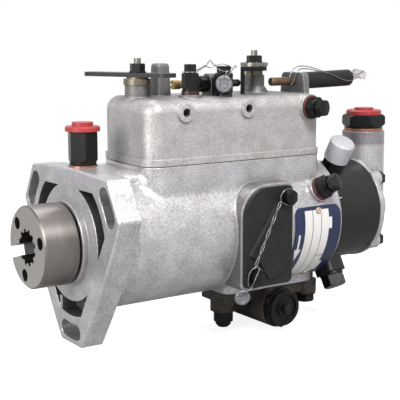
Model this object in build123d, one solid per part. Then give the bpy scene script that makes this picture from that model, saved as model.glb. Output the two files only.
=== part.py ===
from build123d import *
import os
from math import atan2, cos, degrees, radians, sin, sqrt, tan

# A rotary distributor injection pump with a mechanical governor.
# Origin: centre of the flange's mounting face, on the pump axis.
# +X runs along the pump axis from the drive end to the end plate, +Z is up, -Y is the nameplate side.
# All sizes are in millimetres.

# --- driving dimensions -------------------------------------------------------------------------
flange_thickness = 13.4
flange_side = 39.8            # axis to the long sides of the three-eared flange
flange_crown = 2.2            # how far a long side bows out at its middle
ear_reach = 58.8              # axis to the end face of an ear
ear_angles = (30, 150, 270)   # in the YZ plane, from +Y towards +Z
slot_circle_radius = 51.2
slot_width = 9.6
slot_half_angle = 7.6
pocket_inner_radius, pocket_outer_radius = 33.2, 42.2
pocket_side = 31.2            # axis to the straight ends of the cored pockets
pocket_depth = 10.4
pilot_radius, pilot_length = 24.0, 3.5

barrel_radius = 40.0
barrel_end = 170.0
neck_radius, neck_end = 37.6, 19.0
bore_radius = 32.5            # governor chamber, cam ring seat and head seat, one through bore
bore_start = 38.0
shaft_radius = 9.5
running_clearance = 0.05

deck_front, deck_rear = 34.0, 160.5
deck_half_width = 31.0
deck_height = 42.0
deck_lean = 5.6               # how far the front edge falls back at its far end
deck_front_corner, deck_corner_radius = 9.5, 9.2
blend_radius = 7.0            # hollow between the deck's sides and the barrel
gasket_thickness = 0.5
cover_flange_height = 3.7
cover_top = 79.3
cover_wall, cover_inset, cover_edge_radius = 3.2, 0.9, 8.0

hub_radius, hub_front, hub_rear = 23.0, -25.3, -4.4
hub_bolt_circle_radius, hub_hole_radius = 16.8, 3.5
hub_bolt_angles = (163.7, 43.7, 283.7)
spline_minor_radius, spline_major_radius, spline_count = 8.8, 10.3, 12
hub_slot_width, hub_slot_depth, hub_slot_angle = 6.6, 8.4, -16.3

head_radius, head_front, head_rear = 32.4, 144.6, 210.0
cam_centre, cam_width = 134.0, 16.0
rotor_radius = 9.0
end_plate_radius, end_plate_rear = 33.0, 215.0
inlet_x = 224.0
outlet_x = 178.0

advance_axis_z = -53.0
advance_bore_radius = 9.0
shutoff_x, shutoff_y = 46.5, 1.0
throttle_x, throttle_y = 132.6, 3.5
screw_y, screw_z = -7.0, 86.0
stud_y = -19.0
stud_x = (69.3, 92.8)
stud_seat_z = (80.6, 77.8)

parts = {}


# --- small tools ------------------------------------------------------------------------------------
def plane_at(start, end, turn=0):
    """Plane at start whose normal points to end, turned about that normal."""
    plane = Plane(origin=start, z_dir=Vector(*end) - Vector(*start))
    return plane.rotated((0, 0, turn))


def rod(start, end, radius):
    """Solid cylinder between two points."""
    length = (Vector(*end) - Vector(*start)).length
    return extrude(plane_at(start, end) * Circle(radius), amount=length)


def ring(start, end, outer, inner):
    """Tube between two points."""
    length = (Vector(*end) - Vector(*start)).length
    return extrude(plane_at(start, end) * (Circle(outer) - Circle(inner)), amount=length)


def hexagon(start, end, flats, turn=0):
    """Hexagonal prism between two points, sized across its flats."""
    length = (Vector(*end) - Vector(*start)).length
    outline = RegularPolygon(radius=flats / 2, side_count=6, major_radius=False)
    return extrude(plane_at(start, end, turn) * outline, amount=length)


def bolt_head(start, end, flats, turn=0):
    """Hexagon whose outer corners are rounded off by a turned chamfer, as on a machined bolt."""
    corner = flats / sqrt(3)
    shape = hexagon(start, end, flats, turn)
    length = (Vector(*end) - Vector(*start)).length
    blank = extrude(plane_at(start, end) * Circle(corner), amount=length)
    blank = chamfer(blank.edges().filter_by(GeomType.CIRCLE), corner * 0.1)
    return shape & blank


def block(x, y, z):
    """Box given by its lowest and highest value on each axis."""
    size = [high - low for low, high in (x, y, z)]
    centre = [(low + high) / 2 for low, high in (x, y, z)]
    return Pos(*centre) * Box(*size)


def at_angle(x, radius, angle):
    """Point at a radius from the pump axis. Angle 0 is the nameplate side (-Y) and 90 is up."""
    return (x, -radius * cos(radians(angle)), radius * sin(radians(angle)))


def keep(name, *solids):
    """Files the given solids under one node name."""
    parts[name] = solids


# --- housing ------------------------------------------------------------------------------------------
def flange_outline():
    """Three long bowed sides joined by three short straight ear ends."""
    half_end = (2 * flange_side - ear_reach) * tan(radians(30))
    corners = []
    for angle in ear_angles:
        out = Vector(cos(radians(angle)), sin(radians(angle)))
        along = Vector(-sin(radians(angle)), cos(radians(angle)))
        corners.append((out * ear_reach - along * half_end, out * ear_reach + along * half_end))
    edges = []
    for index, angle in enumerate(ear_angles):
        first, second = corners[index]
        following = corners[(index + 1) % 3][0]
        edges.append(Line(first, second))
        bow = flange_side + flange_crown
        middle = (bow * cos(radians(angle + 60)), bow * sin(radians(angle + 60)))
        edges.append(ThreePointArc(second, middle, following))
    outline = make_face(edges)
    return fillet(outline.vertices(), 2.5)


def flange():
    """Three-eared flange with kidney slots and cored pockets in its mounting face."""
    body = extrude(Plane.YZ * flange_outline(), amount=flange_thickness)
    body = chamfer(body.faces().sort_by(Axis.X)[0].edges(), 0.8)
    for angle in ear_angles:
        path = CenterArc((0, 0), slot_circle_radius, angle - slot_half_angle, 2 * slot_half_angle)
        slot = SlotArc(path, slot_width)
        body -= extrude(Plane.YZ * slot, amount=flange_thickness)
    triangle = RegularPolygon(radius=pocket_side, side_count=3, major_radius=False, rotation=30)
    pockets = (Circle(pocket_outer_radius) - Circle(pocket_inner_radius)) & triangle
    for face in pockets.faces():
        body -= extrude(Plane.YZ * fillet(face.vertices(), 1.6), amount=pocket_depth)
    rib = block((0.8, pocket_depth), (11.5, 14.0), (-pocket_outer_radius - 1, -pocket_inner_radius))
    return body + rib


def side_prism(outline, y_near, y_far):
    """Extrudes an XZ outline from y_near (outer, more negative) to y_far."""
    plane = Plane(origin=(0, y_far, 0), x_dir=(1, 0, 0), z_dir=(0, -1, 0))
    return extrude(plane * outline, amount=y_far - y_near)


def inspection_shape(margin):
    """Inspection cover outline: square but for one large and three small rounded corners."""
    left, right, top, bottom = 89.5 - margin, 124.5 + margin, 27.5 + margin, -31.0 - margin
    outline = make_face(Polyline((left, bottom), (right, bottom), (right, top), (left, top), close=True))
    large = [v for v in outline.vertices() if v.X < left + 1 and v.Y > top - 1]
    outline = fillet(large, 17 + margin)
    small = [v for v in outline.vertices() if v.Y < bottom + 1 or (v.X > right - 1 and v.Y > top - 1)]
    return fillet(small, 3.5)


def deck_outline():
    """Plan of the governor cover joint: the front edge is bowed and falls back towards the far side."""
    near, far = -deck_half_width, deck_half_width
    start = (deck_front, near)
    end = (deck_front + deck_lean, far)
    front = ThreePointArc(start, (deck_front + deck_lean * 0.32, 6), end)
    far_edge = Line(end, (deck_rear, far))
    rear_edge = Line((deck_rear, far), (deck_rear, near))
    face = make_face([front, far_edge, rear_edge, Line((deck_rear, near), start)])
    front_corners = [v for v in face.vertices() if v.X < deck_front + deck_lean + 1]
    face = fillet(front_corners, deck_front_corner)
    rear_corners = [v for v in face.vertices() if v.X > deck_rear - 1]
    return fillet(rear_corners, deck_corner_radius)


inspection_pad_y = -43.2
vent_angle, vent_x = 30.7, 154.2
housing_vent_direction = Vector(0.2, -0.86, 0.43).normalized()
leak_off_x, leak_off_seat_z = 10.0, flange_side + flange_crown
advance_seat_z = -41.6
advance_stud_x = 107.0
locating_x, locating_y, locating_radius = 164.5, -11.0, 4.0
stud_radius = 3.0


nameplate_x, nameplate_angles, nameplate_corner = (131.4, 167.6), (-59, 16), 4.5
rivet_places, rivet_radius = ((149.6, 12.6), (153.2, -55.6)), 1.0


def nameplate_sector(inner, outer):
    """Part of a tube round the pump axis that the nameplate covers, with rounded corners."""
    first, last = nameplate_angles
    start, end = nameplate_x
    middle = (first + last) / 2
    height = 2 * outer * sin(radians((last - first) / 2))
    centre = ((start + end) / 2, 0, 0)
    out = Vector(*at_angle(0, 1, middle))
    face = Plane(origin=centre, x_dir=(1, 0, 0), z_dir=out) * RectangleRounded(end - start, height, nameplate_corner)
    return ring((start, 0, 0), (end, 0, 0), outer, inner) & extrude(face, amount=outer + 1)


def deck_on_barrel():
    """Barrel with the governor deck standing on it, joined by a hollow blend along both sides."""
    barrel = rod((neck_end + 4, 0, 0), (barrel_end, 0, 0), barrel_radius)
    barrel = chamfer(barrel.edges().filter_by(GeomType.CIRCLE).sort_by(Axis.X)[-1], 1.2)
    body = barrel + extrude(deck_outline(), amount=deck_height)
    joints = []
    for edge in body.edges():
        middle = edge @ 0.5
        upright = abs((edge % 0.5).Z) > 0.99
        if deck_half_width - 9 < abs(middle.Y) < deck_half_width + 1 and 20 < middle.Z < 38 and not upright:
            joints.append(edge)
    return fillet(joints, blend_radius)


saddle_half_width, saddle_top = 23.0, 40.4
inner_deck_half_width = 24.0


def pump_housing():
    """Cast housing: flange, barrel, governor deck and bosses, bored right through."""
    body = flange()
    body += rod((flange_thickness, 0, 0), (neck_end, 0, 0), neck_radius)
    cone = Plane(origin=(neck_end, 0, 0), z_dir=(1, 0, 0)) * Circle(neck_radius)
    body += loft([cone, Plane(origin=(neck_end + 4, 0, 0), z_dir=(1, 0, 0)) * Circle(barrel_radius)])
    body += deck_on_barrel()
    saddle = block((flange_thickness - 1, deck_front + 8), (-saddle_half_width, saddle_half_width), (12, saddle_top))
    saddle = fillet(saddle.edges().filter_by(Axis.X).sort_by(Axis.Z)[-2:], 7)
    body += saddle
    body += side_prism(inspection_shape(1.6), inspection_pad_y, -20)
    seat = block((97, barrel_end - 0.5), (-17, 17), (advance_seat_z, -28))
    body += fillet(seat.edges().filter_by(Axis.Z), 6)
    vent_seat = Vector(*at_angle(vent_x, 41.4, vent_angle))
    body += rod(vent_seat - housing_vent_direction * 6, vent_seat, 8.0)
    body += rod((-pilot_length, 0, 0), (0.5, 0, 0), pilot_radius)
    body -= rod((-pilot_length, 0, 0), (bore_start + 1, 0, 0), shaft_radius + running_clearance)
    body -= rod((bore_start, 0, 0), (barrel_end, 0, 0), bore_radius)
    opening = block((44, 152), (-inner_deck_half_width, inner_deck_half_width), (10, deck_height))
    for x in stud_x:
        opening -= rod((x, stud_y, 30.5), (x, stud_y, deck_height), 5.5)
        opening -= block((x - 5.5, x + 5.5), (-inner_deck_half_width - 1, stud_y), (30.5, deck_height))
    body -= opening
    for x in stud_x:
        body -= rod((x, stud_y, 30.5), (x, stud_y, deck_height), stud_radius)
    body -= side_prism(Pos(107, -4) * RectangleRounded(22, 34, 4), inspection_pad_y, -20)
    for x, z in inspection_bolts:
        body -= rod((x, inspection_pad_y, z), (x, inspection_pad_y + 9, z), 2.5)
    body -= block((cam_centre - 5.5, cam_centre + 5.5), (-8, 12), (advance_seat_z, -28))
    body -= rod((advance_stud_x, 0, advance_seat_z), (advance_stud_x, 0, advance_seat_z + 8), 3.5)
    body -= rod((locating_x, locating_y, advance_seat_z), (locating_x, locating_y, -28), locating_radius)
    body -= rod((leak_off_x, 0, leak_off_seat_z), (leak_off_x, 0, leak_off_seat_z - 14), 5.0)
    vent_seat = Vector(*at_angle(vent_x, 41.4, vent_angle))
    body -= rod(vent_seat - housing_vent_direction * 8, vent_seat, 4.0)
    for x, angle in rivet_places:
        body -= rod(at_angle(x, 37, angle), at_angle(x, 41, angle), rivet_radius)
    return body


inspection_bolts = ((120.4, 20.8), (97.0, -24.4))

keep("pump_housing", pump_housing())


# --- drive --------------------------------------------------------------------------------------------
shaft_nose_radius, shaft_nose_start = 8.0, -10.0
hub_floor = -11.0
shaft_tail_radius, shaft_tail_end = 8.4, 118.4
cage_front, cage_rear, cage_radius = 44.0, 68.0, 31.0
drive_plate_front = 112.4


def drive_hub():
    """Ground hub: internal spline, drive slot, three tapped holes and the bore for the shaft nose."""
    body = rod((hub_front, 0, 0), (hub_rear, 0, 0), hub_radius)
    body = chamfer(body.edges().filter_by(GeomType.CIRCLE), 0.8)
    body -= rod((hub_front, 0, 0), (hub_floor, 0, 0), spline_major_radius)
    tooth_angle = 360 / spline_count
    root_half, tip_half = 1.5, 0.95
    tooth = make_face(
        Polyline(
            (spline_major_radius + 0.4, -root_half),
            (spline_minor_radius, -tip_half),
            (spline_minor_radius, tip_half),
            (spline_major_radius + 0.4, root_half),
            close=True,
        )
    )
    for index in range(1, spline_count):
        profile = Plane(origin=(hub_front, 0, 0), x_dir=(0, 1, 0), z_dir=(1, 0, 0)) * (
            Rot(0, 0, index * tooth_angle) * tooth
        )
        body += extrude(profile, amount=hub_floor - hub_front)
    body -= rod((hub_floor, 0, 0), (hub_rear, 0, 0), shaft_nose_radius)
    half_slot = hub_slot_width / 2
    slot = block((hub_front, hub_front + hub_slot_depth), (0, hub_radius + 1), (-half_slot, half_slot))
    body -= Rot(hub_slot_angle, 0, 0) * slot
    for angle in hub_bolt_angles:
        y = hub_bolt_circle_radius * cos(radians(angle))
        z = hub_bolt_circle_radius * sin(radians(angle))
        body -= rod((hub_front, y, z), (hub_rear, y, z), hub_hole_radius)
    return body


def drive_shaft():
    """Drive shaft with its nose in the hub, journal in the bush, collar and long tail."""
    body = rod((shaft_nose_start, 0, 0), (0, 0, 0), shaft_nose_radius)
    body += rod((-0.5, 0, 0), (cage_front, 0, 0), shaft_radius)
    body += rod((38.6, 0, 0), (cage_front, 0, 0), 15)
    body += rod((cage_front, 0, 0), (shaft_tail_end, 0, 0), shaft_tail_radius)
    body += rod((106, 0, 0), (drive_plate_front, 0, 0), 12.5)
    body += rod((drive_plate_front, 0, 0), (shaft_tail_end, 0, 0), 27.0)
    for index in range(6):
        angle = radians(30 + 60 * index)
        y, z = 29 * cos(angle), 29 * sin(angle)
        body -= rod((drive_plate_front, y, z), (shaft_tail_end, y, z), 5.0)
    return body


weight_count = 4
weight_pivot_x, weight_pivot_radius = 50.5, 25.0


def around(index):
    """Turn about the pump axis for one of the four weights."""
    return Rot(45 + index * 360 / weight_count, 0, 0)


def weight_retainer():
    """Cage with a closed front disc, a thin rim with a window at each weight, and four dividing walls."""
    body = ring((cage_front, 0, 0), (cage_front + 3, 0, 0), cage_radius, shaft_tail_radius)
    body += ring((cage_front, 0, 0), (cage_rear, 0, 0), cage_radius, cage_radius - 1.6)
    for index in range(weight_count):
        wall = block((cage_front, cage_rear), (-1.5, 1.5), (13.5, cage_radius - 1))
        body += Rot(index * 360 / weight_count, 0, 0) * wall
        window = block((cage_front + 6, cage_rear + 1), (-10.5, 10.5), (cage_radius - 4, cage_radius + 1))
        body -= around(index) * window
    return body


def governor_weight():
    """Flyweight: a heavy heel with a stepped toe, pivoting on its heel edge."""
    profile = make_face(
        Polyline(
            (weight_pivot_x - 1.5, 16.0),
            (weight_pivot_x + 13, 16.0),
            (weight_pivot_x + 13, 12.6),
            (weight_pivot_x + 21, 12.6),
            (weight_pivot_x + 21, 21.5),
            (weight_pivot_x + 12, 25.0),
            (weight_pivot_x - 1.5, 25.0),
            close=True,
        )
    )
    plane = Plane(origin=(0, 8, 0), x_dir=(1, 0, 0), z_dir=(0, -1, 0))
    return extrude(plane * profile, amount=16)


def thrust_sleeve():
    """Sleeve that the weights' toes push along the shaft."""
    body = ring((71.6, 0, 0), (88.0, 0, 0), 11.0, shaft_tail_radius + running_clearance)
    return body + ring((71.6, 0, 0), (76.8, 0, 0), 18.0, shaft_tail_radius + running_clearance)


keep("drive_hub", drive_hub())
keep("drive_shaft", drive_shaft())
keep("weight_retainer", weight_retainer())
for number in range(weight_count):
    keep(f"governor_weight_{number + 1}", around(number) * governor_weight())
keep("thrust_sleeve", thrust_sleeve())

# --- pumping section -------------------------------------------------------------------------------
rotor_head_front, rotor_head_rear, rotor_head_radius = 118.4, 144.4, 20.0
plunger_radius = 3.6
shoe_width, shoe_length = 11.0, 14.0
roller_radius, roller_centre = 4.0, 18.8


def distributor_rotor():
    """Rotor: drilled and ported shank, and a head with the plunger bore and two shoe slots."""
    body = rod((rotor_head_front, 0, 0), (rotor_head_rear, 0, 0), rotor_head_radius)
    body += rod((rotor_head_rear, 0, 0), (197.0, 0, 0), rotor_radius)
    body -= rod((cam_centre, 0, -21), (cam_centre, 0, 21), plunger_radius + 0.02)
    half = shoe_length / 2 + 0.1
    for low, high in ((9.9, 21), (-21, -9.9)):
        body -= block(
            (cam_centre - half, cam_centre + half), (-shoe_width / 2 - 0.1, shoe_width / 2 + 0.1), (low, high)
        )
    body -= rod((outlet_x, 0, 0), (outlet_x, 0, 10), 1.2)
    return body


def shoe(side):
    """Roller shoe with the roller's half-round seat."""
    low, high = sorted((side * 11.4, side * 18.6))
    half = shoe_length / 2
    body = block((cam_centre - half, cam_centre + half), (-shoe_width / 2, shoe_width / 2), (low, high))
    start = (cam_centre - half, 0, side * roller_centre)
    return body - rod(start, (cam_centre + half, 0, side * roller_centre), roller_radius)


def roller(side):
    half = shoe_length / 2
    start = (cam_centre - half, 0, side * roller_centre)
    return rod(start, (cam_centre + half, 0, side * roller_centre), roller_radius)


def cam_ring():
    """Ring with six internal lobes and the threaded hole for the advance screw."""
    profile = Circle(bore_radius - 0.15) - Circle(27.5)
    lobe_radius, lobe_centre = 6.5, 31.6
    for index in range(6):
        angle = radians(30 + 60 * index)
        lobe = Pos(lobe_centre * cos(angle), lobe_centre * sin(angle)) * Circle(lobe_radius)
        profile += lobe
    profile &= Circle(bore_radius - 0.15)
    half = cam_width / 2
    return extrude(Plane(origin=(cam_centre - half, 0, 0), z_dir=(1, 0, 0)) * profile, amount=cam_width)


sides = (1, -1)
keep("pumping_plungers", *[rod((cam_centre, 0, s * 1.6), (cam_centre, 0, s * 11.4), plunger_radius) for s in sides])
keep("roller_shoes", *[shoe(s) for s in sides])
keep("cam_rollers", *[roller(s) for s in sides])
keep("distributor_rotor", distributor_rotor())
ball_radius = 4.5


def cam_advance_screw():
    """Screw in the underside of the cam ring, ending in the ball that the advance piston carries."""
    body = rod((cam_centre, 0, advance_axis_z), (cam_centre, 0, -26.5), 3.0)
    return body + Pos(cam_centre, 0, advance_axis_z) * Sphere(ball_radius)


keep("cam_ring", cam_ring() - rod((cam_centre, 0, -34), (cam_centre, 0, -26.5), 3.0))
keep("cam_advance_screw", cam_advance_screw())


# --- hydraulic head, transfer pump and end plate ------------------------------------------------------
outlet_x, outlet_angles = 180.0, (60, 180)
banjo_x, banjo_angle = 177.5, -60
transfer_bore, transfer_offset = 13.6, 0.6
transfer_front, transfer_rear = 198.0, 210.0
end_bolt_angles = (46, 134, 226, 314)
end_bolt_radius, end_bolt_seat = 28.6, 218.0
metering_x, metering_radius = 148.2, 2.9


def hydraulic_head():
    """Steel head: rotor bore, radial outlet ports, metering valve bore and transfer pump recess."""
    body = rod((head_front, 0, 0), (head_rear, 0, 0), head_radius)
    body = chamfer(body.edges().filter_by(GeomType.CIRCLE), 0.8)
    body -= rod((head_front, 0, 0), (head_rear, 0, 0), rotor_radius + running_clearance)
    body -= rod((transfer_front - 0.2, 0, transfer_offset), (head_rear, 0, transfer_offset), transfer_bore)
    for angle in outlet_angles:
        body -= rod(at_angle(outlet_x, 21, angle), at_angle(outlet_x, head_radius + 1, angle), 5.0)
    body -= rod(at_angle(banjo_x, 21, banjo_angle), at_angle(banjo_x, head_radius + 1, banjo_angle), 5.0)
    metering_bore = metering_radius + running_clearance
    body -= rod((metering_x, 0, 14), (metering_x, 0, head_radius + 1), metering_bore)
    for angle in end_bolt_angles:
        start = at_angle(head_rear - 10, end_bolt_radius, angle)
        body -= rod(start, at_angle(head_rear, end_bolt_radius, angle), 2.5)
    body -= rod((locating_x, locating_y, -26), (locating_x, locating_y, -head_radius), locating_radius)
    return body


def transfer_rotor():
    """Transfer pump rotor with a cross slot for its two sliding blades."""
    body = rod((transfer_front, 0, 0), (transfer_rear - 0.2, 0, 0), 11.6)
    for side in (1, -1):
        low, high = sorted((side * 4.0, side * 12.0))
        body -= block((transfer_front, transfer_rear), (low, high), (-1.6, 1.6))
    return body


def end_plate():
    """Cast end plate: rim, bolt bosses with ribs, rear dome, and the inlet tower that stands on it."""
    body = rod((head_rear, 0, 0), (head_rear + 4.2, 0, 0), end_plate_radius)
    body = chamfer(body.edges().filter_by(GeomType.CIRCLE).sort_by(Axis.X)[-1], 1.0)
    body += rod((head_rear + 4, 0, 0), (232.0, 0, 0), 17.0)
    body = fillet(body.edges().filter_by(GeomType.CIRCLE).sort_by(Axis.X)[-1], 3.0)
    tower = extrude(Pos(inlet_x, 0, inlet_top) * Circle(inlet_radius), amount=-inlet_top, taper=-0.8)
    body += tower
    body += block((head_rear + 2, inlet_x), (-13, 13), (0, 25))
    for angle in end_bolt_angles:
        start = at_angle(head_rear, end_bolt_radius, angle)
        body += rod(start, at_angle(end_bolt_seat, end_bolt_radius, angle), 5.4)
        rib = block((head_rear, end_bolt_seat - 1.5), (-3, 3), (12, end_bolt_radius))
        body += Rot(90 - angle, 0, 0) * rib
    body &= rod((head_rear, 0, 0), (240, 0, 0), 33.9) + block((head_rear, 240), (-15, 15), (20, inlet_top))
    for angle in end_bolt_angles:
        start = at_angle(head_rear, end_bolt_radius, angle)
        body -= rod(start, at_angle(end_bolt_seat, end_bolt_radius, angle), 2.6)
    body -= rod((inlet_x, 0, 2.0), (inlet_x, 0, inlet_top), 9.0)
    return body


def end_bolt(angle):
    """Hexagon-headed bolt through the end plate into the head."""
    head = at_angle(end_bolt_seat, end_bolt_radius, angle)
    body = rod(at_angle(head_rear - 9, end_bolt_radius, angle), head, 2.5)
    body += bolt_head(head, at_angle(end_bolt_seat + 5.2, end_bolt_radius, angle), 8.4, 15)
    return body


def hex_connection(x, seat, flats, height, neck, bore, depth, turn):
    """Hexagonal hose connection: threaded stem, round neck, chamfered hexagon and a bore."""
    stem_radius, neck_height = neck
    body = rod((x, 0, seat - depth), (x, 0, seat), stem_radius)
    body += rod((x, 0, seat), (x, 0, seat + neck_height + 0.5), flats / 2)
    body += bolt_head((x, 0, seat + neck_height), (x, 0, height), flats, turn)
    return body - rod((x, 0, seat - depth), (x, 0, height), bore)


def push_cap(x, seat, radius, height, stem, upper):
    """Soft plastic push-in cap: hollow plug, flange and a low upper disc."""
    upper_radius, upper_height = upper
    body = rod((x, 0, seat), (x, 0, seat + height), radius)
    body = chamfer(body.edges().filter_by(GeomType.CIRCLE).sort_by(Axis.Z)[-1], height * 0.25)
    body += rod((x, 0, seat), (x, 0, seat + height + upper_height), upper_radius)
    body += rod((x, 0, seat - 6), (x, 0, seat), stem)
    return body - rod((x, 0, seat - 6), (x, 0, seat + height / 2), stem - 1.2)


inlet_radius, inlet_top = 14.1, 50.9
keep("hydraulic_head", hydraulic_head())
keep("transfer_pump_rotor", transfer_rotor())
blade_x = (transfer_front + 0.1, transfer_rear - 0.3)
keep("transfer_blades", block(blade_x, (4.2, 12.6), (-1.55, 1.55)), block(blade_x, (-12.6, -4.2), (-1.55, 1.55)))
keep("end_plate", end_plate())
keep("end_plate_bolts", *[end_bolt(angle) for angle in end_bolt_angles])
inlet_hex_seat = inlet_top + 2
keep("inlet_connection", hex_connection(inlet_x, inlet_hex_seat, 25.2, 61.8, (8.95, 1.2), 6.5, 14, 8))
leak_hex_seat = leak_off_seat_z + 0.9
keep("leak_off_connection", hex_connection(leak_off_x, leak_hex_seat, 15.0, 61.8, (5.0, 2.2), 3.2, 13, 12))
keep(
    "plastic_caps",
    push_cap(inlet_x, 61.8, 11.8, 3.2, 6.5, (6.4, 1.4)),
    push_cap(leak_off_x, 61.8, 9.8, 2.8, 3.2, (5.9, 2.2)),
)
# --- delivery outlets -------------------------------------------------------------------------------
def outlet_adaptor(angle):
    """Radial outlet: threaded stem, hexagon and a ground cone nose."""
    body = rod(at_angle(outlet_x, 22, angle), at_angle(outlet_x, head_radius + 1, angle), 5.0)
    body += bolt_head(at_angle(outlet_x, head_radius, angle), at_angle(outlet_x, 42.0, angle), 13.0, 0)
    body += rod(at_angle(outlet_x, 42.0, angle), at_angle(outlet_x, 53.0, angle), 6.0)
    return body - rod(at_angle(outlet_x, 22, angle), at_angle(outlet_x, 53.0, angle), 1.6)


def outlet_cap(angle):
    """Translucent screw cap over an outlet."""
    body = rod(at_angle(outlet_x, 42.6, angle), at_angle(outlet_x, 56.0, angle), 8.1)
    body = chamfer(body.faces().sort_by(Axis.Z if angle == 60 else Axis.Y)[-1].edges(), 1.2)
    return body - rod(at_angle(outlet_x, 42.6, angle), at_angle(outlet_x, 53.2, angle), 6.0)


def banjo_block():
    """Rectangular outlet body held down by the banjo bolt."""
    inner = at_angle(banjo_x, head_radius, banjo_angle)
    plane = plane_at(inner, at_angle(banjo_x, 50, banjo_angle))
    body = extrude(plane * Circle(7.4), amount=1.6)
    body += extrude(plane.offset(1.6) * RectangleRounded(16.4, 15.0, 3.5), amount=9.6)
    return body - rod(inner, at_angle(banjo_x, 50, banjo_angle), 5.1)


def banjo_bolt():
    """Hollow bolt with its collar and a tall hexagon."""
    body = rod(at_angle(banjo_x, 22, banjo_angle), at_angle(banjo_x, 44, banjo_angle), 5.0)
    body += rod(at_angle(banjo_x, 43.6, banjo_angle), at_angle(banjo_x, 45.4, banjo_angle), 7.6)
    body += bolt_head(at_angle(banjo_x, 45.4, banjo_angle), at_angle(banjo_x, 52.5, banjo_angle), 13.0, 0)
    return body


keep("outlet_adaptors", *[outlet_adaptor(angle) for angle in outlet_angles])
keep("outlet_caps", *[outlet_cap(angle) for angle in outlet_angles])
keep("banjo_block", banjo_block())
keep("banjo_bolt", banjo_bolt())

# --- governor cover ---------------------------------------------------------------------------------
cover_base = deck_height + gasket_thickness
shutoff_tower_radius, shutoff_tower_top = 7.45, 86.2
throttle_tower_radius, throttle_tower_top = 6.4, 90.0
shutoff_shaft_radius, throttle_shaft_radius = 3.6, 4.2
cover_holes, cover_hole_depth = ((58.7, 71.6), (102.3, 72.3)), 6.6
cover_face_y = -deck_half_width - 0.6
cover_vent_seat, cover_vent_direction = Vector(149.2, cover_face_y, 71.2), Vector(0.08, -1, 0).normalized()
housing_vent_start = Vector(*at_angle(vent_x, 41.4, vent_angle))


def pillar():
    """Upright lug with draft on all sides and a rounded top."""
    foot = Pos(66.2, 8, 78) * RectangleRounded(11.0, 10.2, 2.6)
    tip = Pos(66.2, 8, 98) * RectangleRounded(9.0, 8.2, 2.2)
    body = loft([foot, tip])
    return fillet(body.faces().sort_by(Axis.Z)[-1].edges(), 2.0)


def screw_lug(front, rear, near, far, top):
    """Upright ear on the cover's top that carries a stop screw."""
    plane = Plane(origin=(front, 0, 0), x_dir=(0, 1, 0), z_dir=(1, 0, 0))
    foot = Polyline((near - 2, 70), (far + 2, 70), (far, top), (near, top), close=True)
    face = make_face(foot)
    face = fillet(face.vertices().sort_by(Axis.Y)[-2:], 3.4)
    return extrude(plane * face, amount=rear - front)


def governor_cover():
    """Hollow die-cast cover: rounded shell, joint flange, towers, pillar, screw lugs and bosses."""
    outline = deck_outline()
    shell = offset(outline, amount=-cover_inset)
    body = extrude(Pos(0, 0, cover_base) * shell, amount=cover_top - cover_base)
    body = fillet(body.faces().sort_by(Axis.Z)[-1].edges(), cover_edge_radius)
    lip = offset(outline, amount=0.3)
    body += extrude(Pos(0, 0, cover_base) * lip, amount=cover_flange_height)
    body += rod((stud_x[0], stud_y, 72), (stud_x[0], stud_y, stud_seat_z[0]), 6.6)
    body += rod((shutoff_x, shutoff_y, 72), (shutoff_x, shutoff_y, shutoff_tower_top), shutoff_tower_radius)
    body += rod((throttle_x, throttle_y, 72), (throttle_x, throttle_y, throttle_tower_top), throttle_tower_radius)
    body += extrude(Pos(throttle_x, throttle_y, cover_top) * Circle(9.0), amount=3.5, taper=30)
    body += pillar()
    body += screw_lug(89.2, 93.4, -11.0, -3.0, 92.0)
    body += screw_lug(155.2, 159.4, -17.0, 3.8, 91.5) & block((150, 160), (-25, 10), (72, 95))
    body += rod(cover_vent_seat - cover_vent_direction * 9, cover_vent_seat, 7.8)
    cavity = Pos(0, 0, cover_base) * offset(shell, amount=-cover_wall)
    hollow = extrude(cavity, amount=cover_top - cover_wall - cover_base)
    body -= fillet(hollow.faces().sort_by(Axis.Z)[-1].edges(), 2.0)
    body += rod((stud_x[1], stud_y, 71), (stud_x[1], stud_y, stud_seat_z[1]), 6.6)
    for x, z in cover_holes:
        body += rod((x, -23.5, z), (x, cover_face_y, z), 5.2)
        body -= rod((x, cover_face_y + cover_hole_depth, z), (x, cover_face_y, z), 2.5)
    for x, seat in zip(stud_x, stud_seat_z):
        body -= rod((x, stud_y, 70), (x, stud_y, seat), stud_radius + 0.1)
        body -= rod((x, stud_y, seat), (x, stud_y, 90), 5.6)
    shutoff_bore = shutoff_shaft_radius + running_clearance
    body -= rod((shutoff_x, shutoff_y, 60), (shutoff_x, shutoff_y, shutoff_tower_top), shutoff_bore)
    throttle_bore = throttle_shaft_radius + running_clearance
    body -= rod((throttle_x, throttle_y, 60), (throttle_x, throttle_y, throttle_tower_top), throttle_bore)
    body -= rod((80, screw_y, screw_z), (100, screw_y, screw_z), idle_radius)
    body -= rod((154, screw_y, screw_z), (160, screw_y, screw_z), max_screw_radius)
    return body - rod(cover_vent_seat - cover_vent_direction * 14, cover_vent_seat, 4.0)


idle_radius, idle_tip_x = 2.2, 112.88
max_screw_radius, max_tip_x = 2.6, 137.0


def cap_nut(x, seat, across, body_top, head_flats, head_top):
    """Stud with its tall nut: round collar, hexagon, and a smaller wire-drilled hexagon on top."""
    body = rod((x, stud_y, 32.0), (x, stud_y, seat + 4), stud_radius)
    body += rod((x, stud_y, seat), (x, stud_y, seat + 1.4), across / 2 + 0.3)
    body += bolt_head((x, stud_y, seat + 1.2), (x, stud_y, body_top), across, 20)
    body += bolt_head((x, stud_y, body_top), (x, stud_y, head_top), head_flats, 20)
    hole_z = body_top + (head_top - body_top) * 0.45
    return body - rod((x - 5, stud_y, hole_z), (x + 5, stud_y, hole_z), 0.6)


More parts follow.
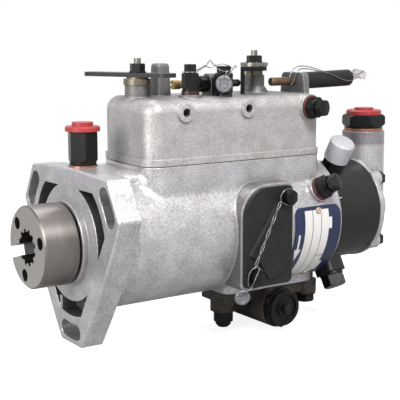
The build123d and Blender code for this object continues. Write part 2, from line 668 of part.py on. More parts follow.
gasket = deck_outline() - offset(deck_outline(), amount=-3.8)
keep("governor_cover", governor_cover())
keep("cover_gasket", extrude(Pos(0, 0, deck_height) * gasket, amount=gasket_thickness))
washer_tops = (83.0, 80.0)
keep(
    "cover_nuts",
    cap_nut(stud_x[0], washer_tops[0], 8.6, 93.0, 6.0, 98.0),
    cap_nut(stud_x[1], washer_tops[1], 9.4, 92.6, 7.0, 96.6),
)
keep(
    "copper_washers",
    ring((inlet_x, 0, inlet_top), (inlet_x, 0, inlet_hex_seat), 13.0, 9.1),
    ring((leak_off_x, 0, leak_off_seat_z), (leak_off_x, 0, leak_hex_seat), 8.2, 5.2),
    ring((stud_x[0], stud_y, stud_seat_z[0]), (stud_x[0], stud_y, washer_tops[0]), 5.1, stud_radius + 0.1),
    ring((stud_x[1], stud_y, stud_seat_z[1]), (stud_x[1], stud_y, washer_tops[1]), 5.1, stud_radius + 0.1),
)


def vent_plug(start, direction, hexagon_end, collar_end):
    """Hexagonal vent plug with a threaded stem, a round collar and a hole for the vent screw."""
    body = rod(start - direction * 7, start, 4.0)
    body += bolt_head(start, start + direction * hexagon_end, 12.4, 10)
    body += rod(start + direction * hexagon_end, start + direction * collar_end, 5.6)
    return body - rod(start + direction * 2, start + direction * collar_end, 2.4)


def vent_screw(start, direction, lower, upper):
    """Smaller hexagon screwed into the vent plug."""
    body = rod(start + direction * (lower - 3), start + direction * lower, 2.4)
    return body + bolt_head(start + direction * lower, start + direction * upper, 9.2, 10)


vents = (
    (cover_vent_seat, cover_vent_direction, 4.8, 6.8, 11.4),
    (housing_vent_start, housing_vent_direction, 6.2, 9.0, 14.4),
)
keep("vent_plugs", *[vent_plug(seat, way, first, second) for seat, way, first, second, _ in vents])
keep("vent_screws", *[vent_screw(seat, way, second, last) for seat, way, _, second, last in vents])

# --- governor linkage -------------------------------------------------------------------------------
arm_x, arm_pivot_z, arm_top_z = 81.7, 30.0, 60.0
bracket_base = deck_height
foot_x = 79.85


def control_bracket():
    """Sheet bracket over the stud bosses, with two cheeks that carry the governor arm's pivot."""
    base, top = bracket_base, bracket_base + 2
    body = block((62, 100), (-26.8, 26.8), (base, top)) - block((68, 90), (-12.5, 12.5), (base, top))
    body += block((76.5, 87), (-21, -19), (25, top)) + block((76.5, 87), (19, 21), (25, top))
    for x in stud_x:
        body -= rod((x, stud_y, base), (x, stud_y, top), stud_radius + 0.1)
    return body - rod((arm_x, -22, arm_pivot_z), (arm_x, 22, arm_pivot_z), 2.0 + running_clearance)


def governor_arm():
    """Forked arm: round feet on the thrust sleeve, pivot pin, and an upright with the link pin."""
    body = block((80.6, 82.8), (-17.5, -12.2), (-1, 33)) + block((80.6, 82.8), (12.2, 17.5), (-1, 33))
    body += block((80.6, 82.8), (-17.5, 17.5), (27.5, 34))
    body += block((80.6, 82.8), (-6, 6), (33, 66))
    body += rod((arm_x, -20.8, arm_pivot_z), (arm_x, 20.8, arm_pivot_z), 2.0)
    for side in (1, -1):
        body += rod((foot_x, side * 12.2, 0), (foot_x, side * 17.5, 0), 3.0)
    return body + rod((arm_x, 5, arm_top_z), (arm_x, link_y + 1.2, arm_top_z), 1.6)


link_y = 12.0
valve_pin_y = link_y


def linkage_rod():
    """Flat rod from the arm's pin to a slotted tongue over the metering valve's lever pin."""
    body = block((78, 144), (link_y - 0.8, link_y + 0.8), (arm_top_z - 2.6, arm_top_z + 2.6))
    tongue = block((142.6, 151.2), (link_y - 3.4, link_y + 3.4), (arm_top_z - 0.8, arm_top_z + 0.8))
    slot = Pos(metering_x, link_y, arm_top_z) * RectangleRounded(2.5, 4.4, 1.1)
    tongue -= extrude(slot, amount=2, both=True)
    body += tongue
    return body - rod((arm_x, 5, arm_top_z), (arm_x, link_y + 2, arm_top_z), 1.6 + running_clearance)


def metering_valve():
    """Metering valve stem with its helical cut-away replaced by a flat, and its lever and pin."""
    body = rod((metering_x, 0, 15), (metering_x, 0, 57), metering_radius)
    body -= block((metering_x - 4, metering_x - 1.6), (-4, 4), (15, 24))
    lever = Pos(metering_x, valve_pin_y / 2, 53) * SlotCenterToCenter(valve_pin_y, 6.4, rotation=90)
    body += extrude(lever, amount=2.6)
    return body + rod((metering_x, valve_pin_y, 53), (metering_x, valve_pin_y, 62.5), 1.15)


keep("control_bracket", control_bracket())
keep("governor_arm", governor_arm())
keep("linkage_rod", linkage_rod())
keep("metering_valve", metering_valve())

# --- throttle and shut-off controls ---------------------------------------------------------------
stop_angle, rod_hole_reach = 52.3, 22.0
crank_reach = 4.2
stop_way = Vector(cos(radians(stop_angle)), sin(radians(stop_angle)), 0)


def throttle_local(z):
    """Plane on the throttle axis whose X axis points along the stop plate."""
    return Plane(origin=(throttle_x, throttle_y, z), x_dir=stop_way, z_dir=(0, 0, 1))


def throttle_shaft():
    """Throttle shaft with its inner crank below and its thin stud above."""
    body = rod((throttle_x, throttle_y, 66), (throttle_x, throttle_y, 93.1), throttle_shaft_radius)
    body += rod((throttle_x, throttle_y, 93.0), (throttle_x, throttle_y, 105.3), 2.0)
    crank = Plane(origin=(throttle_x, throttle_y, 66)) * Pos(-4.5, 0) * SlotCenterToCenter(9, 8.6)
    body += extrude(crank, amount=2.6)
    return body + rod((throttle_x - 9, throttle_y, 63.4), (throttle_x - 9, throttle_y, 67), 1.8)


def stop_plate():
    """Black stop plate: rounded bar with one tongue bent down to meet the two stop screws."""
    bar = Pos(3, 0) * SlotOverall(50, 15.4)
    bar -= Circle(2.05) + Pos(rod_hole_reach, 0) * Circle(3.1)
    body = extrude(throttle_local(93.1) * bar, amount=2.5)
    tongue = Pos(-18, 6.9) * Rectangle(12.4, 2.6)
    body += extrude(throttle_local(79.8) * tongue, amount=15.8)
    shoulder = Pos(-18, 4) * Rectangle(12.4, 8.4)
    return body + extrude(throttle_local(93.1) * shoulder, amount=2.5)


def arm_plate():
    """Plated serrated disc and tail clamped on the stop plate."""
    shape = Circle(8.6) + Pos(7.5, 0) * SlotOverall(18.6, 8.4)
    shape -= Circle(2.05)
    return extrude(throttle_local(95.6) * shape, amount=2.1)


def lever_nut(x, y, bottom, top, flats):
    """Washer-faced hexagon nut on a control shaft's stud."""
    body = rod((x, y, bottom), (x, y, bottom + 0.8), flats / 2 + 1.0)
    body += bolt_head((x, y, bottom + 0.6), (x, y, top), flats, 15)
    return body - rod((x, y, bottom), (x, y, top), 2.0)


def shutoff_shaft():
    """Shut-off shaft with an inner crank and eccentric pin below and a stud above."""
    body = rod((shutoff_x, shutoff_y, 64), (shutoff_x, shutoff_y, 90.7), shutoff_shaft_radius)
    body += rod((shutoff_x, shutoff_y, 90.6), (shutoff_x, shutoff_y, 101.4), 2.0)
    crank = Pos(shutoff_x, shutoff_y + crank_reach / 2, 64) * SlotCenterToCenter(crank_reach, 6.0, rotation=90)
    body += extrude(crank, amount=2.6)
    pin_y = shutoff_y + crank_reach
    return body + rod((shutoff_x, pin_y, 58), (shutoff_x, pin_y, 65), 1.6)


def shutoff_lever():
    """Two-armed flat lever with a hole near each rounded end."""
    near = Vector(8.8, -19.5)
    far = Vector(-13.2, 30.6)
    length = (far - near).length
    angle = degrees(atan2(far.Y - near.Y, far.X - near.X))
    middle = (near + far) / 2
    centre = Pos(shutoff_x + middle.X, shutoff_y + middle.Y, 90.7)
    shape = centre * Rot(0, 0, angle) * (
        SlotOverall(length + 2 * 3.6, 12.0)
        - Pos(length / 2 - 1.2, 0) * Circle(2.1)
        - Pos(1.2 - length / 2, 0) * Circle(2.1)
    )
    body = extrude(shape, amount=2.4)
    return body - rod((shutoff_x, shutoff_y, 90), (shutoff_x, shutoff_y, 94), 2.05)


def dust_cap():
    """Black dust cap over the tower with the thin washer on top."""
    body = ring(
        (shutoff_x, shutoff_y, shutoff_tower_top), (shutoff_x, shutoff_y, 89.6), 8.15, shutoff_shaft_radius + 0.05
    )
    return body + ring((shutoff_x, shutoff_y, 89.6), (shutoff_x, shutoff_y, 90.6), 6.4, shutoff_shaft_radius + 0.05)


keep("throttle_shaft", throttle_shaft())
keep("throttle_stop_plate", stop_plate())
keep("throttle_arm_plate", arm_plate())
keep("throttle_nut", lever_nut(throttle_x, throttle_y, 97.7, 102.0, 8.4))
collar_base = (throttle_x, throttle_y, throttle_tower_top)
keep("throttle_collar", ring(collar_base, (throttle_x, throttle_y, 92.5), 5.4, throttle_shaft_radius + 0.05))
keep("shutoff_shaft", shutoff_shaft())
keep("shutoff_dust_cap", dust_cap())
keep("shutoff_lever", shutoff_lever())
keep("shutoff_nut", lever_nut(shutoff_x, shutoff_y, 93.1, 98.3, 7.8))


def idle_screw():
    """Idle stop screw: slotted brass end, thinner shank and rounded tip."""
    body = rod((64.9, screw_y, screw_z), (69.7, screw_y, screw_z), 2.7)
    body += rod((69.0, screw_y, screw_z), (idle_tip_x, screw_y, screw_z), idle_radius)
    body -= block((64.9, 66.2), (screw_y - 3, screw_y + 3), (screw_z - 0.45, screw_z + 0.45))
    return fillet(body.edges().filter_by(GeomType.CIRCLE).sort_by(Axis.X)[-1], 0.9)


def max_speed_screw():
    """Maximum speed screw with a rounded tip."""
    body = rod((max_tip_x, screw_y, screw_z), (168.0, screw_y, screw_z), max_screw_radius)
    return fillet(body.edges().filter_by(GeomType.CIRCLE).sort_by(Axis.X)[0], 1.0)


def screw_sleeve():
    """Long tamper-proof sleeve over the maximum speed screw, with a small nub on its end."""
    start = (159.6, screw_y, screw_z)
    end = (203.0, screw_y, screw_z + 1.2)
    tip = (205.6, screw_y, screw_z + 1.3)
    body = rod(start, end, 5.3)
    body = fillet(body.edges().filter_by(GeomType.CIRCLE).sort_by(Axis.X)[-1], 1.6)
    body += rod(end, tip, 2.0)
    return body - rod((159.0, screw_y, screw_z), (169.5, screw_y, screw_z), max_screw_radius + 0.1)


keep("idle_screw", idle_screw())
locknut = bolt_head((83.4, screw_y, screw_z), (89.2, screw_y, screw_z), 8.2, 0)
keep("idle_locknut", locknut - rod((83.0, screw_y, screw_z), (90, screw_y, screw_z), idle_radius))
keep("max_speed_screw", max_speed_screw())
keep("max_screw_sleeve", screw_sleeve())

# --- inspection cover, nameplate and seals ----------------------------------------------------------
plate_outer_y, step_outer_y = -45.3, -46.8


def inspection_plate():
    """Flat cover with its lower right part raised beyond a diagonal step."""
    body = side_prism(inspection_shape(0), plate_outer_y, inspection_pad_y)
    corner = [(91.2, -12.0), (111.8, 17.2), (118.6, 13.5), (120.6, -24.0), (106.0, -28.0), (98.0, -15.5)]
    raised = make_face(Polyline(*corner, close=True))
    raised = fillet(raised.vertices(), 2.5)
    plane = Plane(origin=(0, plate_outer_y + 0.5, 0), x_dir=(1, 0, 0), z_dir=(0, -1, 0))
    body += extrude(plane * raised, amount=plate_outer_y - step_outer_y + 0.5, taper=25)
    for x, z in inspection_bolts:
        body -= rod((x, -50, z), (x, -40, z), 2.6)
    return body


def inspection_bolt(x, z):
    """Hexagon bolt with a turned flange under its head, drilled for the locking wire."""
    body = rod((x, plate_outer_y, z), (x, inspection_pad_y + 8, z), 2.5)
    body += rod((x, plate_outer_y - 1.2, z), (x, plate_outer_y, z), 5.0)
    body += bolt_head((x, plate_outer_y - 5.6, z), (x, plate_outer_y - 1.2, z), 8.0, 15)
    return body - rod((x - 6, plate_outer_y - 4, z), (x + 6, plate_outer_y - 4, z), 0.6)


def nameplate():
    """Thin plate wrapped round the barrel."""
    body = nameplate_sector(barrel_radius, barrel_radius + 0.6)
    for x, angle in rivet_places:
        body -= rod(at_angle(x, 38, angle), at_angle(x, 43, angle), rivet_radius)
    return body


def rivet(x, angle):
    """Drive rivet with a domed head."""
    body = rod(at_angle(x, 37, angle), at_angle(x, barrel_radius + 0.7, angle), rivet_radius)
    dome = rod(at_angle(x, barrel_radius + 0.6, angle), at_angle(x, barrel_radius + 1.7, angle), 2.0)
    dome = chamfer(dome.edges().filter_by(GeomType.CIRCLE), 0.4)
    return body + dome


def seal_disc(centre, way, radius, thickness):
    """Crimped seal disc hanging on a wire, with a raised rim."""
    start = Vector(*centre)
    direction = Vector(*way).normalized()
    body = rod(start, start + direction * thickness, radius)
    body = chamfer(body.edges().filter_by(GeomType.CIRCLE), thickness * 0.25)
    inner = start + direction * (thickness - 0.5)
    return body - rod(inner, start + direction * (thickness + 1), radius * 0.6)


keep("inspection_plate", inspection_plate())
keep("inspection_bolts", *[inspection_bolt(x, z) for x, z in inspection_bolts])
keep("nameplate", nameplate())
keep("nameplate_rivets", *[rivet(x, angle) for x, angle in rivet_places])
keep(
    "wire_seals",
    seal_disc((89.2, -24.2, 86.6), (-0.57, -0.82, 0), 4.9, 2.2),
    seal_disc((88.0, -44.4, -35.2), (-0.4, -0.9, -0.1), 4.5, 2.0),
)

# --- advance unit -----------------------------------------------------------------------------------
advance_reach = 22.0
piston_near, piston_far = -14.0, 12.0


def advance_housing():
    """Casting under the barrel: a cross cylinder, a web to the stud boss and the fitting's boss."""
    z = advance_axis_z
    plate = block((98, 170.6), (-15, 15), (-48.5, advance_seat_z))
    body = fillet(plate.edges().filter_by(Axis.Z), 6)
    body += rod((cam_centre, -advance_reach, z), (cam_centre, advance_reach, z), 13.2)
    body += rod((advance_stud_x, 0, advance_seat_z), (advance_stud_x, 0, -56.0), 8.2)
    body += block((advance_stud_x, cam_centre), (-5, 5), (-56, advance_seat_z))
    body += block((cam_centre, 160), (-5, 5), (-54, advance_seat_z))
    body += rod((locating_x, locating_y, advance_seat_z), (locating_x, locating_y, -50.0), 7.4)
    body -= block((80, 180), (-30, 30), (advance_seat_z, -20))
    body -= rod((cam_centre, -advance_reach, z), (cam_centre, advance_reach, z), advance_bore_radius)
    body -= block((cam_centre - 5.5, cam_centre + 5.5), (-8, 12), (z, advance_seat_z))
    body -= rod((advance_stud_x, 0, advance_seat_z), (advance_stud_x, 0, -56), 3.5)
    body -= rod((locating_x, locating_y, advance_seat_z), (locating_x, locating_y, -50), locating_radius)
    body -= rod((164, 10, advance_seat_z), (164, 10, -49), 2.0)
    return body


def advance_piston():
    """Piston with a blind cross hole for the cam screw's ball."""
    z = advance_axis_z
    body = rod((cam_centre, piston_near, z), (cam_centre, piston_far, z), advance_bore_radius - running_clearance)
    body -= rod((cam_centre, 0, z), (cam_centre, 0, z + 12), ball_radius + running_clearance)
    body -= Pos(cam_centre, 0, z) * Sphere(ball_radius + running_clearance)
    return body - rod((cam_centre, piston_near, z), (cam_centre, piston_near + 4, z), 5.5)


def advance_cap(side):
    """Screwed end cap: thin washer, hexagon, and a round face with a ring groove and a hexagonal stub."""
    z = advance_axis_z
    places = [side * (advance_reach + step) for step in (-3.5, 0, 0.6, 3.6, 5.2, 6.4, 8.6)]
    root, seat, washer_end, hex_end, groove_floor, face_end, stub_end = [(cam_centre, y, z) for y in places]
    body = rod(root, seat, advance_bore_radius)
    body += rod(seat, washer_end, 12.4)
    body += bolt_head(washer_end, hex_end, 23.0, 0)
    body += rod(hex_end, face_end, 11.0)
    body -= ring(groove_floor, face_end, 8.8, 5.4)
    return body + hexagon(face_end, stub_end, 6.0, 15)


def advance_nut():
    """Black cap nut and stud under the front boss."""
    body = rod((advance_stud_x, 0, advance_seat_z + 8), (advance_stud_x, 0, -57), 3.5)
    body += bolt_head((advance_stud_x, 0, -56), (advance_stud_x, 0, -63.0), 11.6, 0)
    dome = rod((advance_stud_x, 0, -63.0), (advance_stud_x, 0, -66.6), 4.8)
    return body + chamfer(dome.edges().filter_by(GeomType.CIRCLE).sort_by(Axis.Z)[0], 1.6)


def locating_fitting():
    """Black fitting that passes through the casting and housing into the head."""
    x, y = locating_x, locating_y
    body = rod((x, y, -26), (x, y, -50), locating_radius)
    body += rod((x, y, -51.2), (x, y, -50), 7.0)
    return body + bolt_head((x, y, -51.2), (x, y, -56), 11.0, 0)


keep("advance_housing", advance_housing())
keep("advance_piston", advance_piston())
keep("advance_end_caps", *[advance_cap(side) for side in (1, -1)])
keep("advance_nut", advance_nut())
keep("locating_fitting", locating_fitting())


# --- writing ---------------------------------------------------------------------------------------
def write_parts():
    os.makedirs("parts", exist_ok=True)
    for name, solids in parts.items():
        pieces = []
        for shape in solids:
            pieces.extend(shape.solids())
        export_step(Compound(children=pieces) if len(pieces) > 1 else pieces[0], f"parts/{name}.step")


write_parts()
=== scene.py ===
import math

import bpy
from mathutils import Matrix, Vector


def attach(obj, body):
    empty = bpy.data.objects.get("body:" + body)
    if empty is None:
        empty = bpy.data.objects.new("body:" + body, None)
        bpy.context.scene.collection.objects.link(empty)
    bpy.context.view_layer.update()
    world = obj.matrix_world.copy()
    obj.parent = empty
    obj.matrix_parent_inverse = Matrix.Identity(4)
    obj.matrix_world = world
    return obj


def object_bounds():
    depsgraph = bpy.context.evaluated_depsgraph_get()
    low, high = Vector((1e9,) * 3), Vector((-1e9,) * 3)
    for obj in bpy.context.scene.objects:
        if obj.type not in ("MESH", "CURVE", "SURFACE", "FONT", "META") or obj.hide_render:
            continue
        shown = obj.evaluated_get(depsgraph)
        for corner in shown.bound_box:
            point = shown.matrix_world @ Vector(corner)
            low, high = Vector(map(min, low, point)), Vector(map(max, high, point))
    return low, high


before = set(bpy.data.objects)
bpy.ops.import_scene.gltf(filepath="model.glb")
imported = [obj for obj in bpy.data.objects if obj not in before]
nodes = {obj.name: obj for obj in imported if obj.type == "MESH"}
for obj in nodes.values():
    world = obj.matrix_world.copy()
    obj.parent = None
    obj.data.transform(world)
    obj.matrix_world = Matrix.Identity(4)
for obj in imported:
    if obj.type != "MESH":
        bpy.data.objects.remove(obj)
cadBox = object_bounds()
scene = bpy.context.scene
mm = 0.001
degree = math.pi / 180
print("stage: frame loaded with", len(nodes), "nodes")


# small helpers for colours and shader nodes
def linearChannel(value):
    if value <= 0.04045:
        return value / 12.92
    return ((value + 0.055) / 1.055) ** 2.4


def hexColor(text):
    channels = [int(text[index:index + 2], 16) / 255 for index in (1, 3, 5)]
    return [linearChannel(value) for value in channels] + [1.0]


# an input is a hex colour, a number, a socket, or a node, which gives its first output in use
def setInputs(tree, node, inputs):
    for key, value in inputs.items():
        if isinstance(value, str):
            value = hexColor(value)
        if isinstance(value, bpy.types.Node):
            value = next(output for output in value.outputs if output.enabled)
        if isinstance(value, bpy.types.NodeSocket):
            tree.links.new(value, node.inputs[key])
        else:
            node.inputs[key].default_value = value


# stops are the places of a colour ramp, each with its hex colour or its grey from 0 to 1
def addNode(tree, kind, inputs=None, stops=(), **settings):
    node = tree.nodes.new("ShaderNode" + kind)
    for key, value in settings.items():
        setattr(node, key, value)
    setInputs(tree, node, inputs or {})
    while stops and len(node.color_ramp.elements) < len(stops):
        node.color_ramp.elements.new(0.5)
    for index, (place, color) in enumerate(stops):
        element = node.color_ramp.elements[index]
        element.position = place
        element.color = hexColor(color) if isinstance(color, str) else [color, color, color, 1]
    return node


def newMaterial(name):
    material = bpy.data.materials.new(name)
    material.use_nodes = True
    tree = material.node_tree
    position = addNode(tree, "TexCoord").outputs["Object"]
    return material, tree, tree.nodes["Principled BSDF"], position


# a colour mix has its factor at input 0 and its two colours at inputs 6 and 7
blend = {"data_type": "RGBA"}
darken = {"data_type": "RGBA", "blend_type": "MULTIPLY"}


def pattern(position, sizeMm, detail=3.0, roughness=0.6):  # inputs of a noise whose grains have a real size
    return {"Vector": position, "Scale": 1 / (sizeMm * mm), "Detail": detail, "Roughness": roughness}


def glossStops(settings):  # stops from the glossier to the duller patches of a noise
    return [(0.3, settings["roughLow"]), (0.7, settings["roughHigh"])]


def product(tree, first, *others):  # of masks, it is 1 where all are 1
    result = first
    for other in others:
        result = addNode(tree, "Math", {0: result, 1: other}, operation="MULTIPLY")
    return result


def inverse(tree, mask):
    return addNode(tree, "Math", {0: 1.0, 1: mask}, operation="SUBTRACT")


def between(tree, value, limits, unit):  # 1 where the value lies between two limits
    low, high = [limit * unit for limit in limits]
    offset = addNode(tree, "Math", {0: value, 1: (low + high) / 2}, operation="SUBTRACT")
    distance = addNode(tree, "Math", {0: offset}, operation="ABSOLUTE")
    return addNode(tree, "Math", {0: distance, 1: (high - low) / 2}, operation="LESS_THAN")


def axisDistance(tree, y, z):  # distance from the pump's axis
    squares = addNode(tree, "Math", {0: product(tree, y, y), 1: product(tree, z, z)}, operation="ADD")
    return addNode(tree, "Math", {0: squares}, operation="SQRT")


def axisAngle(tree, y, z):  # angle round the pump's axis: 0 on the near side, positive upwards
    nearSide = product(tree, y, -1.0)
    return addNode(tree, "Math", {0: z, 1: nearSide}, operation="ARCTAN2")


def edgeMask(tree, rounded):  # 1 along small edges, where the rounded normal leaves the face's own
    plain = addNode(tree, "NewGeometry").outputs["Normal"]
    match = addNode(tree, "VectorMath", {0: rounded, 1: plain}, operation="DOT_PRODUCT")
    return addNode(tree, "ValToRGB", {"Fac": match}, stops=[(0.80, 1.0), (0.99, 0.0)])


# castings: blotchy satin grey, with painted shade darkening the recesses, bright where edges have been rubbed
# the blasted grain is finer than 0.3 mm and is drawn at about 1 mm so that it shows
castRecipe = {
    "edgeWear": 0.6, "shadeFrom": 0.12, "shadeTo": 0.7, "shadeStepMm": 2.5,
    "grainStrength": 0.8, "blotchStrength": 0.4,
}


def castMaterial(name, settings):
    material, tree, shader, position = newMaterial(name)
    rounded = addNode(tree, "Bevel", {"Radius": settings["edgeMm"] * mm}, samples=4)
    broad = addNode(tree, "TexNoise", pattern(position, settings["blotchMm"], 4.0))
    fine = addNode(tree, "TexNoise", pattern(position, settings["grainMm"], 5.0, 0.7))
    tones = [(0.3, settings["dark"]), (0.52, settings["mid"]), (0.72, settings["light"])]
    color = addNode(tree, "ValToRGB", {"Fac": broad}, stops=tones)
    speckle = addNode(tree, "ValToRGB", {"Fac": fine}, stops=[(0.40, settings["speckleLow"]), (0.60, 1.0)])
    color = addNode(tree, "Mix", {0: 1.0, 6: color, 7: speckle}, **darken)
    # painted shade: the colour is darkened where ambient occlusion finds the surface sheltered, in recesses
    # and between parts
    shelter = addNode(tree, "AmbientOcclusion", {"Distance": settings["recessMm"] * mm}, samples=6)
    recessShadeStops = [(castRecipe["shadeFrom"], settings["paintedRecessShade"]), (castRecipe["shadeTo"], 1.0)]
    recessShade = addNode(tree, "ValToRGB", {"Fac": shelter.outputs["AO"]}, stops=recessShadeStops)
    color = addNode(tree, "Mix", {0: 1.0, 6: color, 7: recessShade}, **darken)
    if "shadedAboveMm" in settings:  # painted shade: the upper part is darkened above a given height
        low = settings["shadedAboveMm"] * mm
        shade = addNode(tree, "MapRange", {
            "Value": addNode(tree, "SeparateXYZ", {0: position}).outputs["Z"],
            "From Min": low,
            "From Max": low + castRecipe["shadeStepMm"] * mm,
            "To Min": 1.0,
            "To Max": settings["paintedShadeAbove"],
        })
        color = addNode(tree, "Mix", {0: 1.0, 6: color, 7: shade}, **darken)
    wear = product(tree, edgeMask(tree, rounded), castRecipe["edgeWear"])
    grained = addNode(tree, "Bump", {
        "Height": fine,
        "Distance": settings["grainDepthMm"] * mm,
        "Strength": castRecipe["grainStrength"],
        "Normal": rounded,
    })
    wavy = addNode(tree, "Bump", {
        "Height": broad,
        "Distance": settings["blotchDepthMm"] * mm,
        "Strength": castRecipe["blotchStrength"],
        "Normal": grained,
    })
    setInputs(tree, shader, {
        "Base Color": addNode(tree, "Mix", {0: wear, 6: color, 7: settings["edge"]}, **blend),
        "Metallic": settings["metallic"],
        "Specular IOR Level": settings.get("specular", 0.5),
        "Roughness": addNode(tree, "ValToRGB", {"Fac": fine}, stops=glossStops(settings)),
        "Normal": wavy,
    })
    return material


# turned, plated, blacked or moulded surfaces: smooth, slightly cloudy, with thin lighter edges
# their grain is under 0.1 mm and is drawn at about 0.4 mm so that it shows
smoothRecipe = {"edgeMm": 0.25, "edgeWear": 0.35, "grainStrength": 0.6}


def smoothMaterial(name, settings):
    material, tree, shader, position = newMaterial(name)
    rounded = addNode(tree, "Bevel", {"Radius": smoothRecipe["edgeMm"] * mm}, samples=4)
    broad = addNode(tree, "TexNoise", pattern(position, settings["blotchMm"]))
    fine = addNode(tree, "TexNoise", pattern(position, settings["grainMm"]))
    tones = [(0.3, settings["dark"]), (0.7, settings["light"])]
    color = addNode(tree, "ValToRGB", {"Fac": broad}, stops=tones)
    wear = product(tree, edgeMask(tree, rounded), smoothRecipe["edgeWear"])
    edge = settings.get("edge", settings["light"])
    grained = addNode(tree, "Bump", {
        "Height": fine,
        "Distance": settings["grainDepthMm"] * mm,
        "Strength": smoothRecipe["grainStrength"],
        "Normal": rounded,
    })
    setInputs(tree, shader, {
        "Base Color": addNode(tree, "Mix", {0: wear, 6: color, 7: edge}, **blend),
        "Metallic": settings["metallic"],
        "Specular IOR Level": settings.get("specular", 0.5),
        "Roughness": addNode(tree, "ValToRGB", {"Fac": fine}, stops=glossStops(settings)),
        "Normal": grained,
    })
    return material


# clear or milky plastic: cloudy gloss, with the dents of a crimp where it has been pressed
def clearMaterial(name, settings):
    material, tree, shader, position = newMaterial(name)
    cloud = addNode(tree, "TexNoise", pattern(position, settings["cloudMm"]))
    setInputs(tree, shader, {
        "Base Color": settings["color"],
        "Transmission Weight": settings["transmission"],
        "IOR": settings["ior"],
        "Roughness": addNode(tree, "ValToRGB", {"Fac": cloud}, stops=glossStops(settings)),
    })
    if "dentMm" in settings:
        dents = addNode(tree, "TexNoise", pattern(position, settings["dentMm"]))
        pressed = addNode(tree, "Bump", {
            "Height": dents,
            "Distance": settings["dentDepthMm"] * mm,
            "Strength": settings["dentStrength"],
        })
        setInputs(tree, shader, {"Normal": pressed})
    return material


# ground steel of the hub: fine rings left by the wheel, lighter on the face, painted black shade in the bores
# the rings are drawn at 0.5 mm, several times their real pitch, so that they show
groundHub = {
    "dark": "#65605e", "light": "#7e7976", "face": "#aba8a5", "bore": "#100f0e", "metallic": 0.75,
    "roughLow": 0.3, "roughHigh": 0.4, "edgeMm": 0.4,
    "ringMm": 0.5, "ringDepthMm": 0.012, "ringStrength": 0.5, "ringChangeMm": 0.6,
    "faceX": -25.2, "faceShare": 0.8, "groundRadius": 22.6, "boreShare": 0.93,
}


def hubMaterial(name, settings):
    material, tree, shader, position = newMaterial(name)
    rounded = addNode(tree, "Bevel", {"Radius": settings["edgeMm"] * mm}, samples=4)
    x, y, z = addNode(tree, "SeparateXYZ", {0: position}).outputs
    radius = axisDistance(tree, y, z)
    around = product(tree, axisAngle(tree, y, z), settings["ringChangeMm"] * mm)
    rings = addNode(tree, "CombineXYZ", {0: x, 1: radius, 2: around})
    lines = addNode(tree, "TexNoise", pattern(rings, settings["ringMm"], 4.0, 0.7))
    tones = [(0.25, settings["dark"]), (0.75, settings["light"])]
    color = addNode(tree, "ValToRGB", {"Fac": lines}, stops=tones)
    onFace = addNode(tree, "Math", {0: x, 1: settings["faceX"] * mm}, operation="LESS_THAN")
    faceShare = product(tree, onFace, settings["faceShare"])
    color = addNode(tree, "Mix", {0: faceShare, 6: color, 7: settings["face"]}, **blend)
    # painted shade: inside the bore the colour goes near black and the metal stops reflecting
    under = addNode(tree, "Math", {0: radius, 1: settings["groundRadius"] * mm}, operation="LESS_THAN")
    inside = product(tree, under, inverse(tree, onFace))
    boreShare = product(tree, inside, settings["boreShare"])
    metal = settings["metallic"]
    grooved = addNode(tree, "Bump", {
        "Height": lines,
        "Distance": settings["ringDepthMm"] * mm,
        "Strength": settings["ringStrength"],
        "Normal": rounded,
    })
    setInputs(tree, shader, {
        "Base Color": addNode(tree, "Mix", {0: boreShare, 6: color, 7: settings["bore"]}, **blend),
        "Metallic": addNode(tree, "Math", {0: inside, 1: -metal, 2: metal}, operation="MULTIPLY_ADD"),
        "Roughness": addNode(tree, "ValToRGB", {"Fac": lines}, stops=glossStops(settings)),
        "Normal": grooved,
    })
    return material


# sand-cast aluminium, bead blasted: soft silvery satin
castAluminium = castMaterial("blastedAluminium", {
    "dark": "#b1aeb1", "mid": "#c2bfc2", "light": "#d1cfd1", "edge": "#e4e2e2", "edgeMm": 0.7,
    "blotchMm": 12, "grainMm": 1.0, "speckleLow": 0.62, "recessMm": 14, "paintedRecessShade": 0.2,
    "metallic": 0.6, "roughLow": 0.28, "roughHigh": 0.42, "grainDepthMm": 0.10, "blotchDepthMm": 0.2,
})
# painted shade for the walls of the inspection pad and the flange pockets
recessWallShade = {
    "padX": (86.0, 128.0), "padRadius": 41.2, "padSideY": -25.0, "padFacing": (-0.95, -0.55), "padShade": 0.42,
    "pocketX": (0.6, 12.0), "pocketRadius": (32.4, 43.4), "pocketMiddle": 36.0, "pocketFacing": -0.6,
    "pocketShade": 0.55, "outwardShare": 0.3,
}


